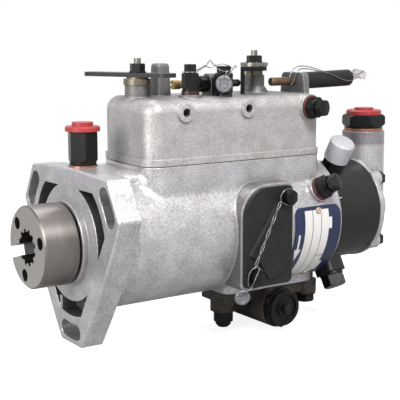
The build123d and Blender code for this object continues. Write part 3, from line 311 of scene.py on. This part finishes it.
def paintShadeOnRecessWalls(material, settings):  # painted shade on the side walls of the pad and on the walls of the flange pockets, picked by place and facing
    tree = material.node_tree
    shader = tree.nodes["Principled BSDF"]
    position = addNode(tree, "TexCoord").outputs["Object"]
    x, y, z = addNode(tree, "SeparateXYZ", {0: position}).outputs
    radius = axisDistance(tree, y, z)
    facing = addNode(tree, "NewGeometry").outputs["Normal"]
    facingX, facingY, facingZ = addNode(tree, "SeparateXYZ", {0: facing}).outputs
    low, high = settings["padFacing"]
    onPad = product(
        tree,
        between(tree, x, settings["padX"], mm),
        addNode(tree, "Math", {0: radius, 1: settings["padRadius"] * mm}, operation="GREATER_THAN"),
        addNode(tree, "Math", {0: y, 1: settings["padSideY"] * mm}, operation="LESS_THAN"),
        addNode(tree, "MapRange", {"Value": facingY, "From Min": low, "From Max": high}),
    )
    alongY, alongZ = product(tree, facingY, y), product(tree, facingZ, z)
    outward = addNode(tree, "Math", {0: alongY, 1: alongZ}, operation="ADD")
    enough = product(tree, radius, settings["outwardShare"])
    outside = product(
        tree,
        addNode(tree, "Math", {0: outward, 1: enough}, operation="GREATER_THAN"),
        addNode(tree, "Math", {0: radius, 1: settings["pocketMiddle"] * mm}, operation="GREATER_THAN"),
    )
    inPocket = product(
        tree,
        inverse(tree, outside),
        between(tree, x, settings["pocketX"], mm),
        between(tree, radius, settings["pocketRadius"], mm),
        addNode(tree, "Math", {0: facingX, 1: settings["pocketFacing"]}, operation="GREATER_THAN"),
    )
    padLoss = product(tree, onPad, 1 - settings["padShade"])
    pocketLoss = product(tree, inPocket, 1 - settings["pocketShade"])
    kept = inverse(tree, addNode(tree, "Math", {0: padLoss, 1: pocketLoss}, operation="ADD"))
    under = shader.inputs["Base Color"].links[0].from_socket
    setInputs(tree, shader, {"Base Color": addNode(tree, "Mix", {0: 1.0, 6: under, 7: kept}, **darken)})


paintShadeOnRecessWalls(castAluminium, recessWallShade)
# machined aluminium casting: the same grey, smoother, with painted shade darkening the inlet tower
endPlateAluminium = castMaterial("machinedEndPlateAluminium", {
    "dark": "#a5a2a6", "mid": "#bab7bb", "light": "#cac8cb", "edge": "#e2e0e0", "edgeMm": 0.7,
    "blotchMm": 14, "grainMm": 1.4, "speckleLow": 0.8, "recessMm": 10, "paintedRecessShade": 0.4,
    "shadedAboveMm": 41, "paintedShadeAbove": 0.5,
    "metallic": 0.4, "roughLow": 0.3, "roughHigh": 0.44, "grainDepthMm": 0.06, "blotchDepthMm": 0.1,
})
# die-cast aluminium: warmer and flatter grey, with painted shade darkening the towers
coverAluminium = castMaterial("dieCastAluminium", {
    "dark": "#a3a09f", "mid": "#b0adac", "light": "#bcb9b8", "edge": "#dcdad9", "edgeMm": 0.6,
    "blotchMm": 10, "grainMm": 1.0, "speckleLow": 0.68, "recessMm": 8, "paintedRecessShade": 0.45,
    "shadedAboveMm": 77.6, "paintedShadeAbove": 0.38,
    "metallic": 0.45, "roughLow": 0.4, "roughHigh": 0.56, "grainDepthMm": 0.12, "blotchDepthMm": 0.2,
})
hubSteel = hubMaterial("groundHubSteel", groundHub)
# bare ground steel: mid grey with a dull shine
groundSteel = smoothMaterial("groundSteel", {
    "dark": "#6a6661", "light": "#87837d", "blotchMm": 6, "grainMm": 0.5, "metallic": 0.9,
    "roughLow": 0.3, "roughHigh": 0.45, "grainDepthMm": 0.02,
})
# oil-blacked steel: near black, with a soft sheen
blackOxide = smoothMaterial("blackOxideSteel", {
    "dark": "#0b0b0c", "light": "#121213", "edge": "#302f30", "blotchMm": 5, "grainMm": 0.5, "metallic": 0.0,
    "specular": 0.2, "roughLow": 0.28, "roughHigh": 0.42, "grainDepthMm": 0.03,
})
# phosphated steel: brownish black, even and satin
phosphateSteel = smoothMaterial("phosphatedHeadSteel", {
    "dark": "#171515", "light": "#1f1d1d", "edge": "#3f3c3a", "blotchMm": 8, "grainMm": 0.4, "metallic": 0.0,
    "specular": 0.3, "roughLow": 0.36, "roughHigh": 0.5, "grainDepthMm": 0.02,
})
timingLine = {"x": (171.0, 178.2), "angleDeg": (22.7, 23.9), "color": "#b9b6b2"}


def addTimingLine(material, settings):  # scribed line where bright steel shows through the black
    tree = material.node_tree
    shader = tree.nodes["Principled BSDF"]
    position = addNode(tree, "TexCoord").outputs["Object"]
    x, y, z = addNode(tree, "SeparateXYZ", {0: position}).outputs
    angle = axisAngle(tree, y, z)
    along = between(tree, x, settings["x"], mm)
    line = product(tree, along, between(tree, angle, settings["angleDeg"], degree))
    under = shader.inputs["Base Color"].links[0].from_socket
    scribed = addNode(tree, "Mix", {0: line, 6: under, 7: settings["color"]}, **blend)
    setInputs(tree, shader, {"Base Color": scribed})


addTimingLine(phosphateSteel, timingLine)
# oiled bare steel: dark grey, a little wet
greySteel = smoothMaterial("oiledGreySteel", {
    "dark": "#212123", "light": "#2d2d2f", "edge": "#555558", "blotchMm": 5, "grainMm": 0.5, "metallic": 0.3,
    "specular": 0.4, "roughLow": 0.34, "roughHigh": 0.48, "grainDepthMm": 0.03,
})
# phosphated cast iron: rough brown-black, rusty brown on the high spots
phosphatedIron = castMaterial("phosphatedIron", {
    "dark": "#28231f", "mid": "#3a332e", "light": "#544b43", "edge": "#7c736a", "edgeMm": 0.5,
    "blotchMm": 7, "grainMm": 0.8, "speckleLow": 0.6, "recessMm": 8, "paintedRecessShade": 0.35, "specular": 0.35,
    "metallic": 0.15, "roughLow": 0.4, "roughHigh": 0.6, "grainDepthMm": 0.10, "blotchDepthMm": 0.2,
})
# painted cast plate: charcoal, satin
plateMetal = castMaterial("darkPaintedPlate", {
    "dark": "#191a1a", "mid": "#1e1f1f", "light": "#242525", "edge": "#3c3d3d", "edgeMm": 0.5,
    "blotchMm": 9, "grainMm": 0.6, "speckleLow": 0.8, "recessMm": 5, "paintedRecessShade": 0.4, "specular": 0.25,
    "metallic": 0.0, "roughLow": 0.36, "roughHigh": 0.5, "grainDepthMm": 0.05, "blotchDepthMm": 0.1,
})
# zinc plate gone dull: warm grey with pale edges
zincSteel = smoothMaterial("zincPlatedSteel", {
    "dark": "#66645f", "light": "#8a877f", "edge": "#b8b5ab", "blotchMm": 3, "grainMm": 0.4, "metallic": 0.85,
    "roughLow": 0.26, "roughHigh": 0.42, "grainDepthMm": 0.02,
})
# bright drive rivet: pale and warm, with a clear glint
rivetMetal = smoothMaterial("brightAluminiumRivet", {
    "dark": "#b39c86", "light": "#dcc9b6", "edge": "#efe4d8", "blotchMm": 2, "grainMm": 0.4, "metallic": 0.6,
    "roughLow": 0.28, "roughHigh": 0.4, "grainDepthMm": 0.02,
})
# yellow passivated zinc: olive grey with straw-coloured edges
paleBrass = smoothMaterial("yellowPassivatedZinc", {
    "dark": "#5a5244", "light": "#7c7463", "edge": "#a69d88", "blotchMm": 4, "grainMm": 0.4, "metallic": 0.75,
    "roughLow": 0.28, "roughHigh": 0.42, "grainDepthMm": 0.02,
})
# bronze: brown, with a low warm shine
bronze = smoothMaterial("bronze", {
    "dark": "#54412f", "light": "#75604a", "edge": "#a08a70", "blotchMm": 3, "grainMm": 0.4, "metallic": 0.7,
    "roughLow": 0.3, "roughHigh": 0.42, "grainDepthMm": 0.02,
})
# oiled gasket paper: matt dark brown line
gasketPaper = smoothMaterial("gasketPaper", {
    "dark": "#4d3f2b", "light": "#6b5b42", "blotchMm": 3, "grainMm": 0.3, "metallic": 0.0,
    "roughLow": 0.8, "roughHigh": 0.95, "grainDepthMm": 0.05,
})
# rubber sleeve: black, half matt
blackRubber = smoothMaterial("blackRubber", {
    "dark": "#0c0c0d", "light": "#151516", "edge": "#242425", "blotchMm": 4, "grainMm": 0.4, "metallic": 0.0,
    "specular": 0.3, "roughLow": 0.42, "roughHigh": 0.58, "grainDepthMm": 0.03,
})
# moulded polythene plug: flat red with a waxy gloss
redPlastic = smoothMaterial("redPolythene", {
    "dark": "#8c2226", "light": "#a12e31", "edge": "#b85452", "blotchMm": 8, "grainMm": 0.5, "metallic": 0.0,
    "roughLow": 0.35, "roughHigh": 0.45, "grainDepthMm": 0.01,
})
# crimped lead: dented, patchy grey
sealMetal = smoothMaterial("crimpedLeadSeal", {
    "dark": "#4c4a4f", "light": "#8a888c", "edge": "#a9a7a9", "blotchMm": 1.3, "grainMm": 0.5,
    "metallic": 0.4, "roughLow": 0.35, "roughHigh": 0.5, "grainDepthMm": 0.15,
})
# milky polythene: lets a little of the black union show through
clearPlastic = clearMaterial("milkyPolythene", {
    "color": "#cfcfd3", "transmission": 0.4, "ior": 1.3, "cloudMm": 1.5, "roughLow": 0.25, "roughHigh": 0.4,
})


# bare metal, but dark between two places along the pump
def twoPartMaterial(name, settings):
    material, tree, shader, position = newMaterial(name)
    x = addNode(tree, "SeparateXYZ", {0: position}).outputs["X"]
    cloud = addNode(tree, "TexNoise", pattern(position, settings["cloudMm"]))
    tones = [(0.3, settings["metalDark"]), (0.7, settings["metalLight"])]
    metal = addNode(tree, "ValToRGB", {"Fac": cloud}, stops=tones)
    inDark = between(tree, x, settings["darkX"], mm)
    setInputs(tree, shader, {
        "Base Color": addNode(tree, "Mix", {0: inDark, 6: metal, 7: settings["darkPart"]}, **blend),
        "Metallic": addNode(tree, "ValToRGB", {"Fac": inDark}, stops=[(0.0, 0.85), (1.0, 0.0)]),
        "Roughness": addNode(tree, "ValToRGB", {"Fac": cloud}, stops=glossStops(settings)),
    })
    return material


# brass slotted end, oily black thread behind it
idleMetal = twoPartMaterial("brassAndBlackScrew", {
    "metalDark": "#8f7a4c", "metalLight": "#b9a26c", "darkPart": "#101011", "darkX": (70.2, 140.0),
    "cloudMm": 1.5, "roughLow": 0.28, "roughHigh": 0.42,
})
# copper where the joint is a banjo or hose union, dark red fibre under the cover nuts
washerMetal = twoPartMaterial("copperAndFibreWashers", {
    "metalDark": "#8a5540", "metalLight": "#b28470", "darkPart": "#2c1413", "darkX": (60.0, 100.0),
    "cloudMm": 2.0, "roughLow": 0.3, "roughHigh": 0.45,
})

# printed aluminium nameplate: navy ground, blank white fields with thin rules between, one white arrow
plateLayout = {
    "navyDark": "#101938", "navyLight": "#182347", "white": "#d6d3d1", "rule": "#3b2f33", "cloudMm": 9.0,
    "fieldX": (138.8, 160.3), "ruleX": (145.0, 151.8), "ruleMm": 0.45, "fieldAngle": (-57.4, 13.2),
    "navyX": (157.8, 162.0), "tabs": ((-4.4, 5.8), (-52.0, -38.4)), "crossAngle": -30.2, "crossHalf": 0.35,
    "shaftX": (134.1, 135.5), "shaftAngle": (-20.8, -7.0), "headTip": -32.4, "headX": 134.9, "headHalf": 2.6,
    "roughLow": 0.32, "roughHigh": 0.44,
}


def plateFields(tree, x, angle, settings):  # white fields, less the navy beside the tabs on their rear edge
    along = between(tree, x, settings["fieldX"], mm)
    fields = product(tree, along, between(tree, angle, settings["fieldAngle"], degree))
    besideTabs = between(tree, x, settings["navyX"], mm)
    for tab in settings["tabs"]:
        besideTabs = product(tree, besideTabs, inverse(tree, between(tree, angle, tab, degree)))
    rest = addNode(tree, "Math", {0: fields, 1: besideTabs}, operation="SUBTRACT")
    return addNode(tree, "Math", {0: rest, 1: 0.0}, operation="MAXIMUM")


def plateRules(tree, x, angle, settings):  # lines between the fields, and a short one across the last field
    half = settings["ruleMm"] / 2
    crossLimits = [settings["crossAngle"] + side * settings["crossHalf"] for side in (-1, 1)]
    beyond = addNode(tree, "Math", {0: x, 1: settings["ruleX"][1] * mm}, operation="GREATER_THAN")
    rules = product(tree, between(tree, angle, crossLimits, degree), beyond)
    for place in settings["ruleX"]:
        line = between(tree, x, (place - half, place + half), mm)
        rules = addNode(tree, "Math", {0: rules, 1: line}, operation="MAXIMUM")
    return rules


def plateArrow(tree, x, angle, settings):  # the arrow's shaft, and its head, which widens from the tip
    along = between(tree, x, settings["shaftX"], mm)
    shaft = product(tree, along, between(tree, angle, settings["shaftAngle"], degree))
    head = (settings["headTip"], settings["shaftAngle"][0])
    halfWidth = addNode(tree, "MapRange", {
        "Value": angle,
        "From Min": head[0] * degree,
        "From Max": head[1] * degree,
        "To Min": 0.0,
        "To Max": settings["headHalf"] * mm,
    })
    offset = addNode(tree, "Math", {0: x, 1: settings["headX"] * mm}, operation="SUBTRACT")
    sideways = addNode(tree, "Math", {0: offset}, operation="ABSOLUTE")
    inHead = addNode(tree, "Math", {0: sideways, 1: halfWidth}, operation="LESS_THAN")
    tip = product(tree, inHead, between(tree, angle, head, degree))
    return addNode(tree, "Math", {0: shaft, 1: tip}, operation="MAXIMUM")


def nameplateMaterial(name, settings):
    material, tree, shader, position = newMaterial(name)
    x, y, z = addNode(tree, "SeparateXYZ", {0: position}).outputs
    angle = axisAngle(tree, y, z)
    fields = plateFields(tree, x, angle, settings)
    rules = product(tree, plateRules(tree, x, angle, settings), fields)
    white = addNode(tree, "Math", {0: fields, 1: plateArrow(tree, x, angle, settings)}, operation="MAXIMUM")
    cloud = addNode(tree, "TexNoise", pattern(position, settings["cloudMm"]))
    tones = [(0.3, settings["navyDark"]), (0.7, settings["navyLight"])]
    navy = addNode(tree, "ValToRGB", {"Fac": cloud}, stops=tones)
    color = addNode(tree, "Mix", {0: white, 6: navy, 7: settings["white"]}, **blend)
    setInputs(tree, shader, {
        "Base Color": addNode(tree, "Mix", {0: rules, 6: color, 7: settings["rule"]}, **blend),
        "Roughness": addNode(tree, "ValToRGB", {"Fac": cloud}, stops=glossStops(settings)),
    })
    return material


navyPlate = nameplateMaterial("printedNameplate", plateLayout)

# which nodes take which material; those not named are bare ground steel
finishes = {
    castAluminium: ["pump_housing"],
    endPlateAluminium: ["end_plate"],
    coverAluminium: ["governor_cover"],
    hubSteel: ["drive_hub"],
    phosphateSteel: ["hydraulic_head", "banjo_block"],
    blackOxide: [
        "end_plate_bolts", "inlet_connection", "leak_off_connection", "outlet_adaptors", "banjo_bolt",
        "vent_plugs", "vent_screws", "throttle_stop_plate", "inspection_bolts", "advance_nut",
        "locating_fitting", "advance_end_caps", "cover_nuts", "idle_locknut", "throttle_nut", "shutoff_nut",
    ],
    phosphatedIron: ["advance_housing"],
    plateMetal: ["inspection_plate"],
    greySteel: ["shutoff_lever"],
    zincSteel: ["throttle_arm_plate"],
    rivetMetal: ["nameplate_rivets"],
    paleBrass: ["throttle_collar", "shutoff_dust_cap"],
    bronze: ["max_speed_screw"],
    idleMetal: ["idle_screw"],
    washerMetal: ["copper_washers"],
    gasketPaper: ["cover_gasket"],
    blackRubber: ["max_screw_sleeve"],
    redPlastic: ["plastic_caps"],
    clearPlastic: ["outlet_caps"],
    sealMetal: ["wire_seals"],
    navyPlate: ["nameplate"],
}
named = {name: material for material, names in finishes.items() for name in names}
for name, part in nodes.items():
    part.data.materials.clear()
    part.data.materials.append(named.get(name, groundSteel))
print("stage: materials on", len(named), "nodes, ground steel on the rest")

# locking wires: bright stainless wire, drawn smooth, so it glints along its length
wireSteel = smoothMaterial("drawnStainlessWire", {
    "dark": "#5a585b", "light": "#8d8b8e", "edge": "#a5a3a5", "blotchMm": 2, "grainMm": 0.4, "metallic": 0.8,
    "roughLow": 0.25, "roughHigh": 0.35, "grainDepthMm": 0.01,
})
pointsPerTurn = 8


def placed(places):
    return [Vector(place) for place in places]


def addStrand(points, diameterMm):
    bpy.ops.object.select_all(action="DESELECT")
    bpy.ops.curve.primitive_nurbs_path_add(location=(0, 0, 0))
    strand = bpy.context.active_object
    spline = strand.data.splines[0]
    spline.points.add(len(points) - len(spline.points))  # a new path has five points, so no strand has fewer
    for knot, place in zip(spline.points, points):
        knot.co = (place.x * mm, place.y * mm, place.z * mm, 1)
    spline.order_u = 3
    spline.use_endpoint_u = True
    strand.data.resolution_u = 4
    strand.data.bevel_depth = diameterMm * mm / 2
    strand.data.bevel_resolution = 2
    strand.data.use_fill_caps = True
    bpy.ops.object.convert(target="MESH")
    bpy.ops.object.shade_smooth()
    return strand


def addWire(name, strands, diameterMm, material=wireSteel):
    made = [addStrand(points, diameterMm) for points in strands]
    bpy.ops.object.select_all(action="DESELECT")
    for strand in made:
        strand.select_set(True)
    bpy.context.view_layer.objects.active = made[0]
    if len(made) > 1:
        bpy.ops.object.join()
    wire = bpy.context.active_object
    wire.name = name
    wire.data.materials.append(material)
    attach(wire, "pump")


def twistedPair(start, end, turns, radiusMm):
    along = end - start
    side = along.cross(Vector((0, 1, 0))).normalized()
    front = along.cross(side).normalized()
    count = round(turns * pointsPerTurn)
    pair = ([], [])
    for strand, phase in zip(pair, (0, math.pi)):
        for step in range(count + 1):
            turn = phase + 2 * math.pi * turns * step / count
            out = side * math.cos(turn) + front * math.sin(turn)
            strand.append(start + along * (step / count) + out * radiusMm)
    return pair


# inspection cover: loop round the upper bolt, loose twist down to the lower bolt, tails and the seal's hanger
coverWire = {
    "wireMm": 0.65, "radiusMm": 0.65, "turns": 2.25,
    "top": (112.4, -48.8, 19.0), "bottom": (94.2, -48.8, -17.4),
    "overUpper": ((121.5, -48.4, 25.4), (117.6, -49.2, 26.6), (113.6, -49.4, 24.9), (111.7, -49.2, 21.6)),
    "underUpper": ((120.2, -48.6, 16.0), (117.2, -49.4, 16.6), (114.3, -49.4, 17.7)),
    "tailRight": ((96.4, -49.6, -18.2), (98.4, -49.6, -19.4), (99.4, -49.0, -20.6)),
    "tailLeft": ((91.4, -49.0, -18.6), (89.4, -48.8, -21.6), (89.4, -48.2, -25.6), (90.4, -47.6, -28.6)),
    "hanger": (
        (95.4, -51.6, -17.6), (93.6, -52.0, -20.5), (91.7, -51.8, -24.4), (90.6, -50.4, -28.2),
        (91.6, -49.8, -30.0), (94.6, -49.6, -29.8), (98.2, -49.4, -29.2), (99.8, -48.8, -28.2),
    ),
    "sealTie": (
        (90.9, -50.2, -28.4), (90.0, -49.8, -29.4), (89.0, -49.2, -30.6), (88.2, -48.2, -31.8),
        (87.6, -46.6, -33.6),
    ),
}
top, bottom = placed((coverWire["top"], coverWire["bottom"]))
upperStrand, lowerStrand = twistedPair(top, bottom, coverWire["turns"], coverWire["radiusMm"])
addWire("coverLockWire", [
    placed(coverWire["overUpper"]) + upperStrand + placed(coverWire["tailLeft"]),
    placed(coverWire["underUpper"]) + lowerStrand + placed(coverWire["tailRight"]),
    placed(coverWire["hanger"]),
    placed(coverWire["sealTie"]),
], coverWire["wireMm"])

# cover nuts: ring round the front nut's neck, short twist with an open eye, knot on the rear nut, seal below
nutWire = {
    "wireMm": 0.55, "radiusMm": 0.5, "turns": 1.5,
    "ringRadius": 4.3, "ringCentre": (69.3, -19.0, 93.6),
    "ringPoints": 14, "ringStartDeg": 15, "ringStepDeg": 26,
    "twistStart": (74.2, -19.6, 94.4), "twistEnd": (79.0, -20.0, 96.9),
    "eyeHigh": ((80.6, -20.2, 98.2), (81.9, -20.2, 100.6), (83.8, -20.2, 98.6), (85.2, -20.4, 96.9)),
    "eyeLow": ((80.4, -20.0, 96.4), (82.2, -20.0, 95.6), (84.2, -20.2, 96.2), (85.8, -20.4, 97.2)),
    "toRear": (
        (88.4, -20.6, 97.6), (90.4, -21.4, 98.0), (92.8, -22.4, 97.2), (95.4, -22.6, 96.2),
        (96.8, -20.6, 95.0),
    ),
    "underRear": ((87.2, -20.6, 95.4), (88.6, -21.6, 94.2), (90.2, -23.8, 93.6), (92.6, -24.6, 93.4)),
    "sealLoop": (
        (92.2, -24.4, 94.2), (90.2, -25.4, 93.4), (88.6, -26.4, 91.2), (88.2, -26.6, 89.2),
        (89.8, -26.2, 90.8), (92.4, -25.6, 92.6), (95.2, -24.4, 94.6), (97.4, -22.8, 95.6),
        (97.2, -21.6, 94.6),
    ),
    "stub": (
        (95.0, -23.4, 95.8), (96.8, -24.0, 96.6), (98.4, -23.6, 96.8), (99.0, -22.8, 95.8),
        (97.8, -22.4, 95.2),
    ),
}
neckRing = []
for step in range(nutWire["ringPoints"]):
    turn = math.radians(nutWire["ringStartDeg"] - step * nutWire["ringStepDeg"])
    out = Vector((math.cos(turn), math.sin(turn), 0)) * nutWire["ringRadius"]
    neckRing.append(Vector(nutWire["ringCentre"]) + out)
start, end = placed((nutWire["twistStart"], nutWire["twistEnd"]))
firstStrand, secondStrand = twistedPair(start, end, nutWire["turns"], nutWire["radiusMm"])
addWire("nutLockWire", [
    neckRing + firstStrand + placed(nutWire["eyeHigh"]) + placed(nutWire["toRear"]),
    secondStrand + placed(nutWire["eyeLow"]) + placed(nutWire["underRear"]),
    placed(nutWire["sealLoop"]),
    placed(nutWire["stub"]),
], nutWire["wireMm"])

# stop screw: two strands over the ear and down along the sleeve into a clear crimped seal
screwWire = {
    "wireMm": 0.6, "inSealMm": 1.0,
    "long": (
        (149.6, -10.2, 88.2), (151.2, -10.0, 91.4), (154.6, -9.6, 94.6), (159.5, -9.4, 95.6),
        (167.0, -9.6, 94.8), (175.5, -10.8, 92.2), (183.5, -12.6, 89.6), (190.5, -13.6, 86.6),
        (196.5, -13.6, 85.2), (203.0, -12.6, 86.2), (209.0, -10.6, 88.2),
    ),
    "short": (
        (151.0, -10.4, 83.6), (152.9, -10.6, 86.0), (153.8, -10.8, 89.4), (155.6, -10.8, 92.8),
        (160.0, -10.4, 94.0), (168.0, -10.2, 93.2), (176.5, -11.2, 91.2),
    ),
    "inSeal": (
        (203.4, -11.2, 89.6), (205.0, -10.8, 89.0), (206.6, -10.6, 88.9), (210.0, -10.2, 90.4),
        (213.0, -10.0, 91.2),
    ),
}
addWire("stopScrewWire", [placed(screwWire["long"]), placed(screwWire["short"])], screwWire["wireMm"])

# crimp seal of clear polystyrene on the wire's end: a small rounded box, glassy, with the wire's end inside
clearSeal = {"centre": (208.6, -10.6, 89.4), "sizeMm": (10.5, 3.6, 5.4), "tiltDeg": -12, "roundMm": 1.1}
clearPolystyrene = clearMaterial("clearPolystyrene", {
    "color": "#dcd8d6", "transmission": 0.75, "ior": 1.4, "cloudMm": 1.2, "roughLow": 0.12, "roughHigh": 0.35,
    "dentMm": 1.8, "dentDepthMm": 0.3, "dentStrength": 0.7,
})
bpy.ops.object.select_all(action="DESELECT")
bpy.ops.mesh.primitive_cube_add(size=1)
seal = bpy.context.active_object
seal.name = "clearWireSeal"
bpy.ops.object.mode_set(mode="EDIT")
bpy.ops.transform.resize(value=[side * mm for side in clearSeal["sizeMm"]])
bpy.ops.mesh.bevel(offset=clearSeal["roundMm"] * mm, segments=3, affect="EDGES")
tilt = math.radians(clearSeal["tiltDeg"])
bpy.ops.transform.rotate(value=tilt, orient_axis="Y", center_override=(0, 0, 0))
bpy.ops.transform.translate(value=[value * mm for value in clearSeal["centre"]])
bpy.ops.object.mode_set(mode="OBJECT")
bpy.ops.object.shade_smooth()
seal.data.materials.append(clearPolystyrene)
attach(seal, "pump")
addWire("stopScrewWireEnd", [placed(screwWire["inSeal"])], screwWire["inSealMm"], greySteel)

# washers under the two vent plugs, of red vulcanised fibre: matt, slightly fibrous
ventWashers = {
    "outerMm": 7.25, "innerMm": 4.1, "thickMm": 1.4, "roundMm": 0.3, "sides": 48,
    "places": (((149.2, -31.6, 71.2), (0.08, -1.0, 0.0)), ((154.2, -35.6, 21.14), (0.2, -0.86, 0.43))),
}
redFibre = smoothMaterial("redVulcanFibre", {
    "dark": "#3c1614", "light": "#55211f", "edge": "#6d3834", "blotchMm": 2, "grainMm": 0.3, "metallic": 0.0,
    "roughLow": 0.55, "roughHigh": 0.75, "grainDepthMm": 0.04,
})


def washerRing(settings):  # a disc whose two flat faces are inset to the bore and bridged through it
    bpy.ops.object.select_all(action="DESELECT")
    bpy.ops.mesh.primitive_cylinder_add(
        vertices=settings["sides"], radius=settings["outerMm"] * mm, depth=settings["thickMm"] * mm
    )
    washer = bpy.context.active_object
    bpy.ops.object.mode_set(mode="EDIT")
    bpy.ops.mesh.select_mode(type="FACE")
    bpy.ops.mesh.select_all(action="DESELECT")
    bpy.ops.object.mode_set(mode="OBJECT")
    for face in washer.data.polygons:
        face.select = abs(face.normal.z) > 0.9  # the two flat faces
    bpy.ops.object.mode_set(mode="EDIT")
    bpy.ops.mesh.inset(thickness=(settings["outerMm"] - settings["innerMm"]) * mm)
    bpy.ops.mesh.bridge_edge_loops()
    bpy.ops.object.mode_set(mode="OBJECT")
    rounding = washer.modifiers.new("edgeRound", "BEVEL")
    rounding.width = settings["roundMm"] * mm
    rounding.segments = 2
    bpy.ops.object.modifier_apply(modifier=rounding.name)
    washer.data.materials.append(redFibre)
    return washer


def placeWasher(name, ring, seat, way, thickMm):  # a copy that lies on its seat and faces the given way
    washer = ring.copy()
    washer.data = ring.data.copy()
    washer.name = name
    scene.collection.objects.link(washer)
    direction = Vector(way).normalized()
    washer.rotation_mode = "QUATERNION"
    washer.rotation_quaternion = Vector((0, 0, 1)).rotation_difference(direction)
    washer.location = (Vector(seat) + direction * thickMm / 2) * mm
    bpy.ops.object.select_all(action="DESELECT")
    washer.select_set(True)
    bpy.context.view_layer.objects.active = washer
    bpy.ops.object.transform_apply(location=True, rotation=True, scale=True)
    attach(washer, "pump")


ring = washerRing(ventWashers)
for number, (seat, way) in enumerate(ventWashers["places"], 1):
    placeWasher(f"ventWasher{number}", ring, seat, way, ventWashers["thickMm"])
bpy.data.objects.remove(ring)
print("stage: locking wires, seals and vent washers")

# studio: pale floor, white surround, soft boxes
studio = {
    "sky": "#f4f5f7", "surround": 0.15,
    "floor": "#b4b4b3", "floorRoughness": 0.9, "floorGlow": 0.86,
    "floorMm": 1500, "floorX": 100, "floorGapMm": 2,
    "boxes": [
        {"name": "keyBox", "place": (60, -580, 600), "aim": (90, 0, 10), "sizeMm": 260, "watts": 8.6},
        {"name": "leftBox", "place": (-640, -160, 260), "aim": (0, 0, 0), "sizeMm": 340, "watts": 5.4},
        {"name": "topBox", "place": (180, 260, 640), "aim": (110, 0, 0), "sizeMm": 420, "watts": 2.4},
    ],
}


def addSoftBox(settings):
    light = bpy.data.lights.new(settings["name"], "AREA")
    light.shape = "SQUARE"
    light.size = settings["sizeMm"] * mm
    light.energy = settings["watts"]
    lamp = bpy.data.objects.new(settings["name"], light)
    scene.collection.objects.link(lamp)
    lamp.location = [value * mm for value in settings["place"]]
    x, y, z = [end - start for start, end in zip(settings["place"], settings["aim"])]
    lamp.rotation_euler = (math.atan2(math.hypot(x, y), -z), 0, math.atan2(-x, y))


def seenDirectly(tree):  # 1 for what the camera sees, also in metal and through glass
    ray = addNode(tree, "LightPath").outputs
    seen = addNode(tree, "Math", {0: ray["Is Camera Ray"], 1: ray["Is Glossy Ray"]}, operation="MAXIMUM")
    return addNode(tree, "Math", {0: seen, 1: ray["Is Transmission Ray"]}, operation="MAXIMUM")


for box in studio["boxes"]:
    addSoftBox(box)
world = bpy.data.worlds.new("studioWorld")
world.use_nodes = True
scene.world = world
worldTree = world.node_tree
surround = worldTree.nodes["Background"]
setInputs(worldTree, surround, {"Color": studio["sky"], "Strength": studio["surround"]})
whiteSky = addNode(worldTree, "Background", {"Color": "#ffffff", "Strength": 1.0})
sky = addNode(worldTree, "MixShader", {0: seenDirectly(worldTree), 1: surround, 2: whiteSky})
setInputs(worldTree, worldTree.nodes["World Output"], {"Surface": sky})

# the floor glows for the camera only, so that it ends in the white surround and still takes the shadow
bpy.ops.object.select_all(action="DESELECT")
floorLevel = cadBox[0][2] - studio["floorGapMm"] * mm
bpy.ops.mesh.primitive_plane_add(size=studio["floorMm"] * mm, location=(studio["floorX"] * mm, 0, floorLevel))
floor = bpy.context.active_object
floor.name = "studioFloor"
floorMaterial, floorTree, floorShader = newMaterial("paleFloor")[:3]
setInputs(floorTree, floorShader, {"Base Color": studio["floor"], "Roughness": studio["floorRoughness"]})
toCamera = addNode(floorTree, "LightPath").outputs["Is Camera Ray"]
glow = addNode(floorTree, "Emission", {
    "Color": "#ffffff",
    "Strength": product(floorTree, toCamera, studio["floorGlow"]),
})
floorSurface = addNode(floorTree, "AddShader", {0: floorShader, 1: glow})
setInputs(floorTree, floorTree.nodes["Material Output"], {"Surface": floorSurface})
floor.data.materials.append(floorMaterial)
print("stage: studio")

# camera at three-quarter view of the drive end
cameraSettings = {
    "place": (-245.14, -482.95, 112.17), "azimuthDeg": -34.696, "elevationDeg": 9.344,
    "focalPixels": 979.72, "framePixels": 400, "sensorMm": 36.0,
}
cameraData = bpy.data.cameras.new("productCamera")
cameraData.sensor_width = cameraSettings["sensorMm"]
cameraData.lens = cameraSettings["focalPixels"] / cameraSettings["framePixels"] * cameraSettings["sensorMm"]
camera = bpy.data.objects.new("productCamera", cameraData)
scene.collection.objects.link(camera)
camera.location = [value * mm for value in cameraSettings["place"]]
tiltUp = math.radians(90 - cameraSettings["elevationDeg"])
camera.rotation_euler = (tiltUp, 0, math.radians(cameraSettings["azimuthDeg"]))
scene.camera = camera
scene.view_settings.view_transform = "Standard"
print("stage: camera")
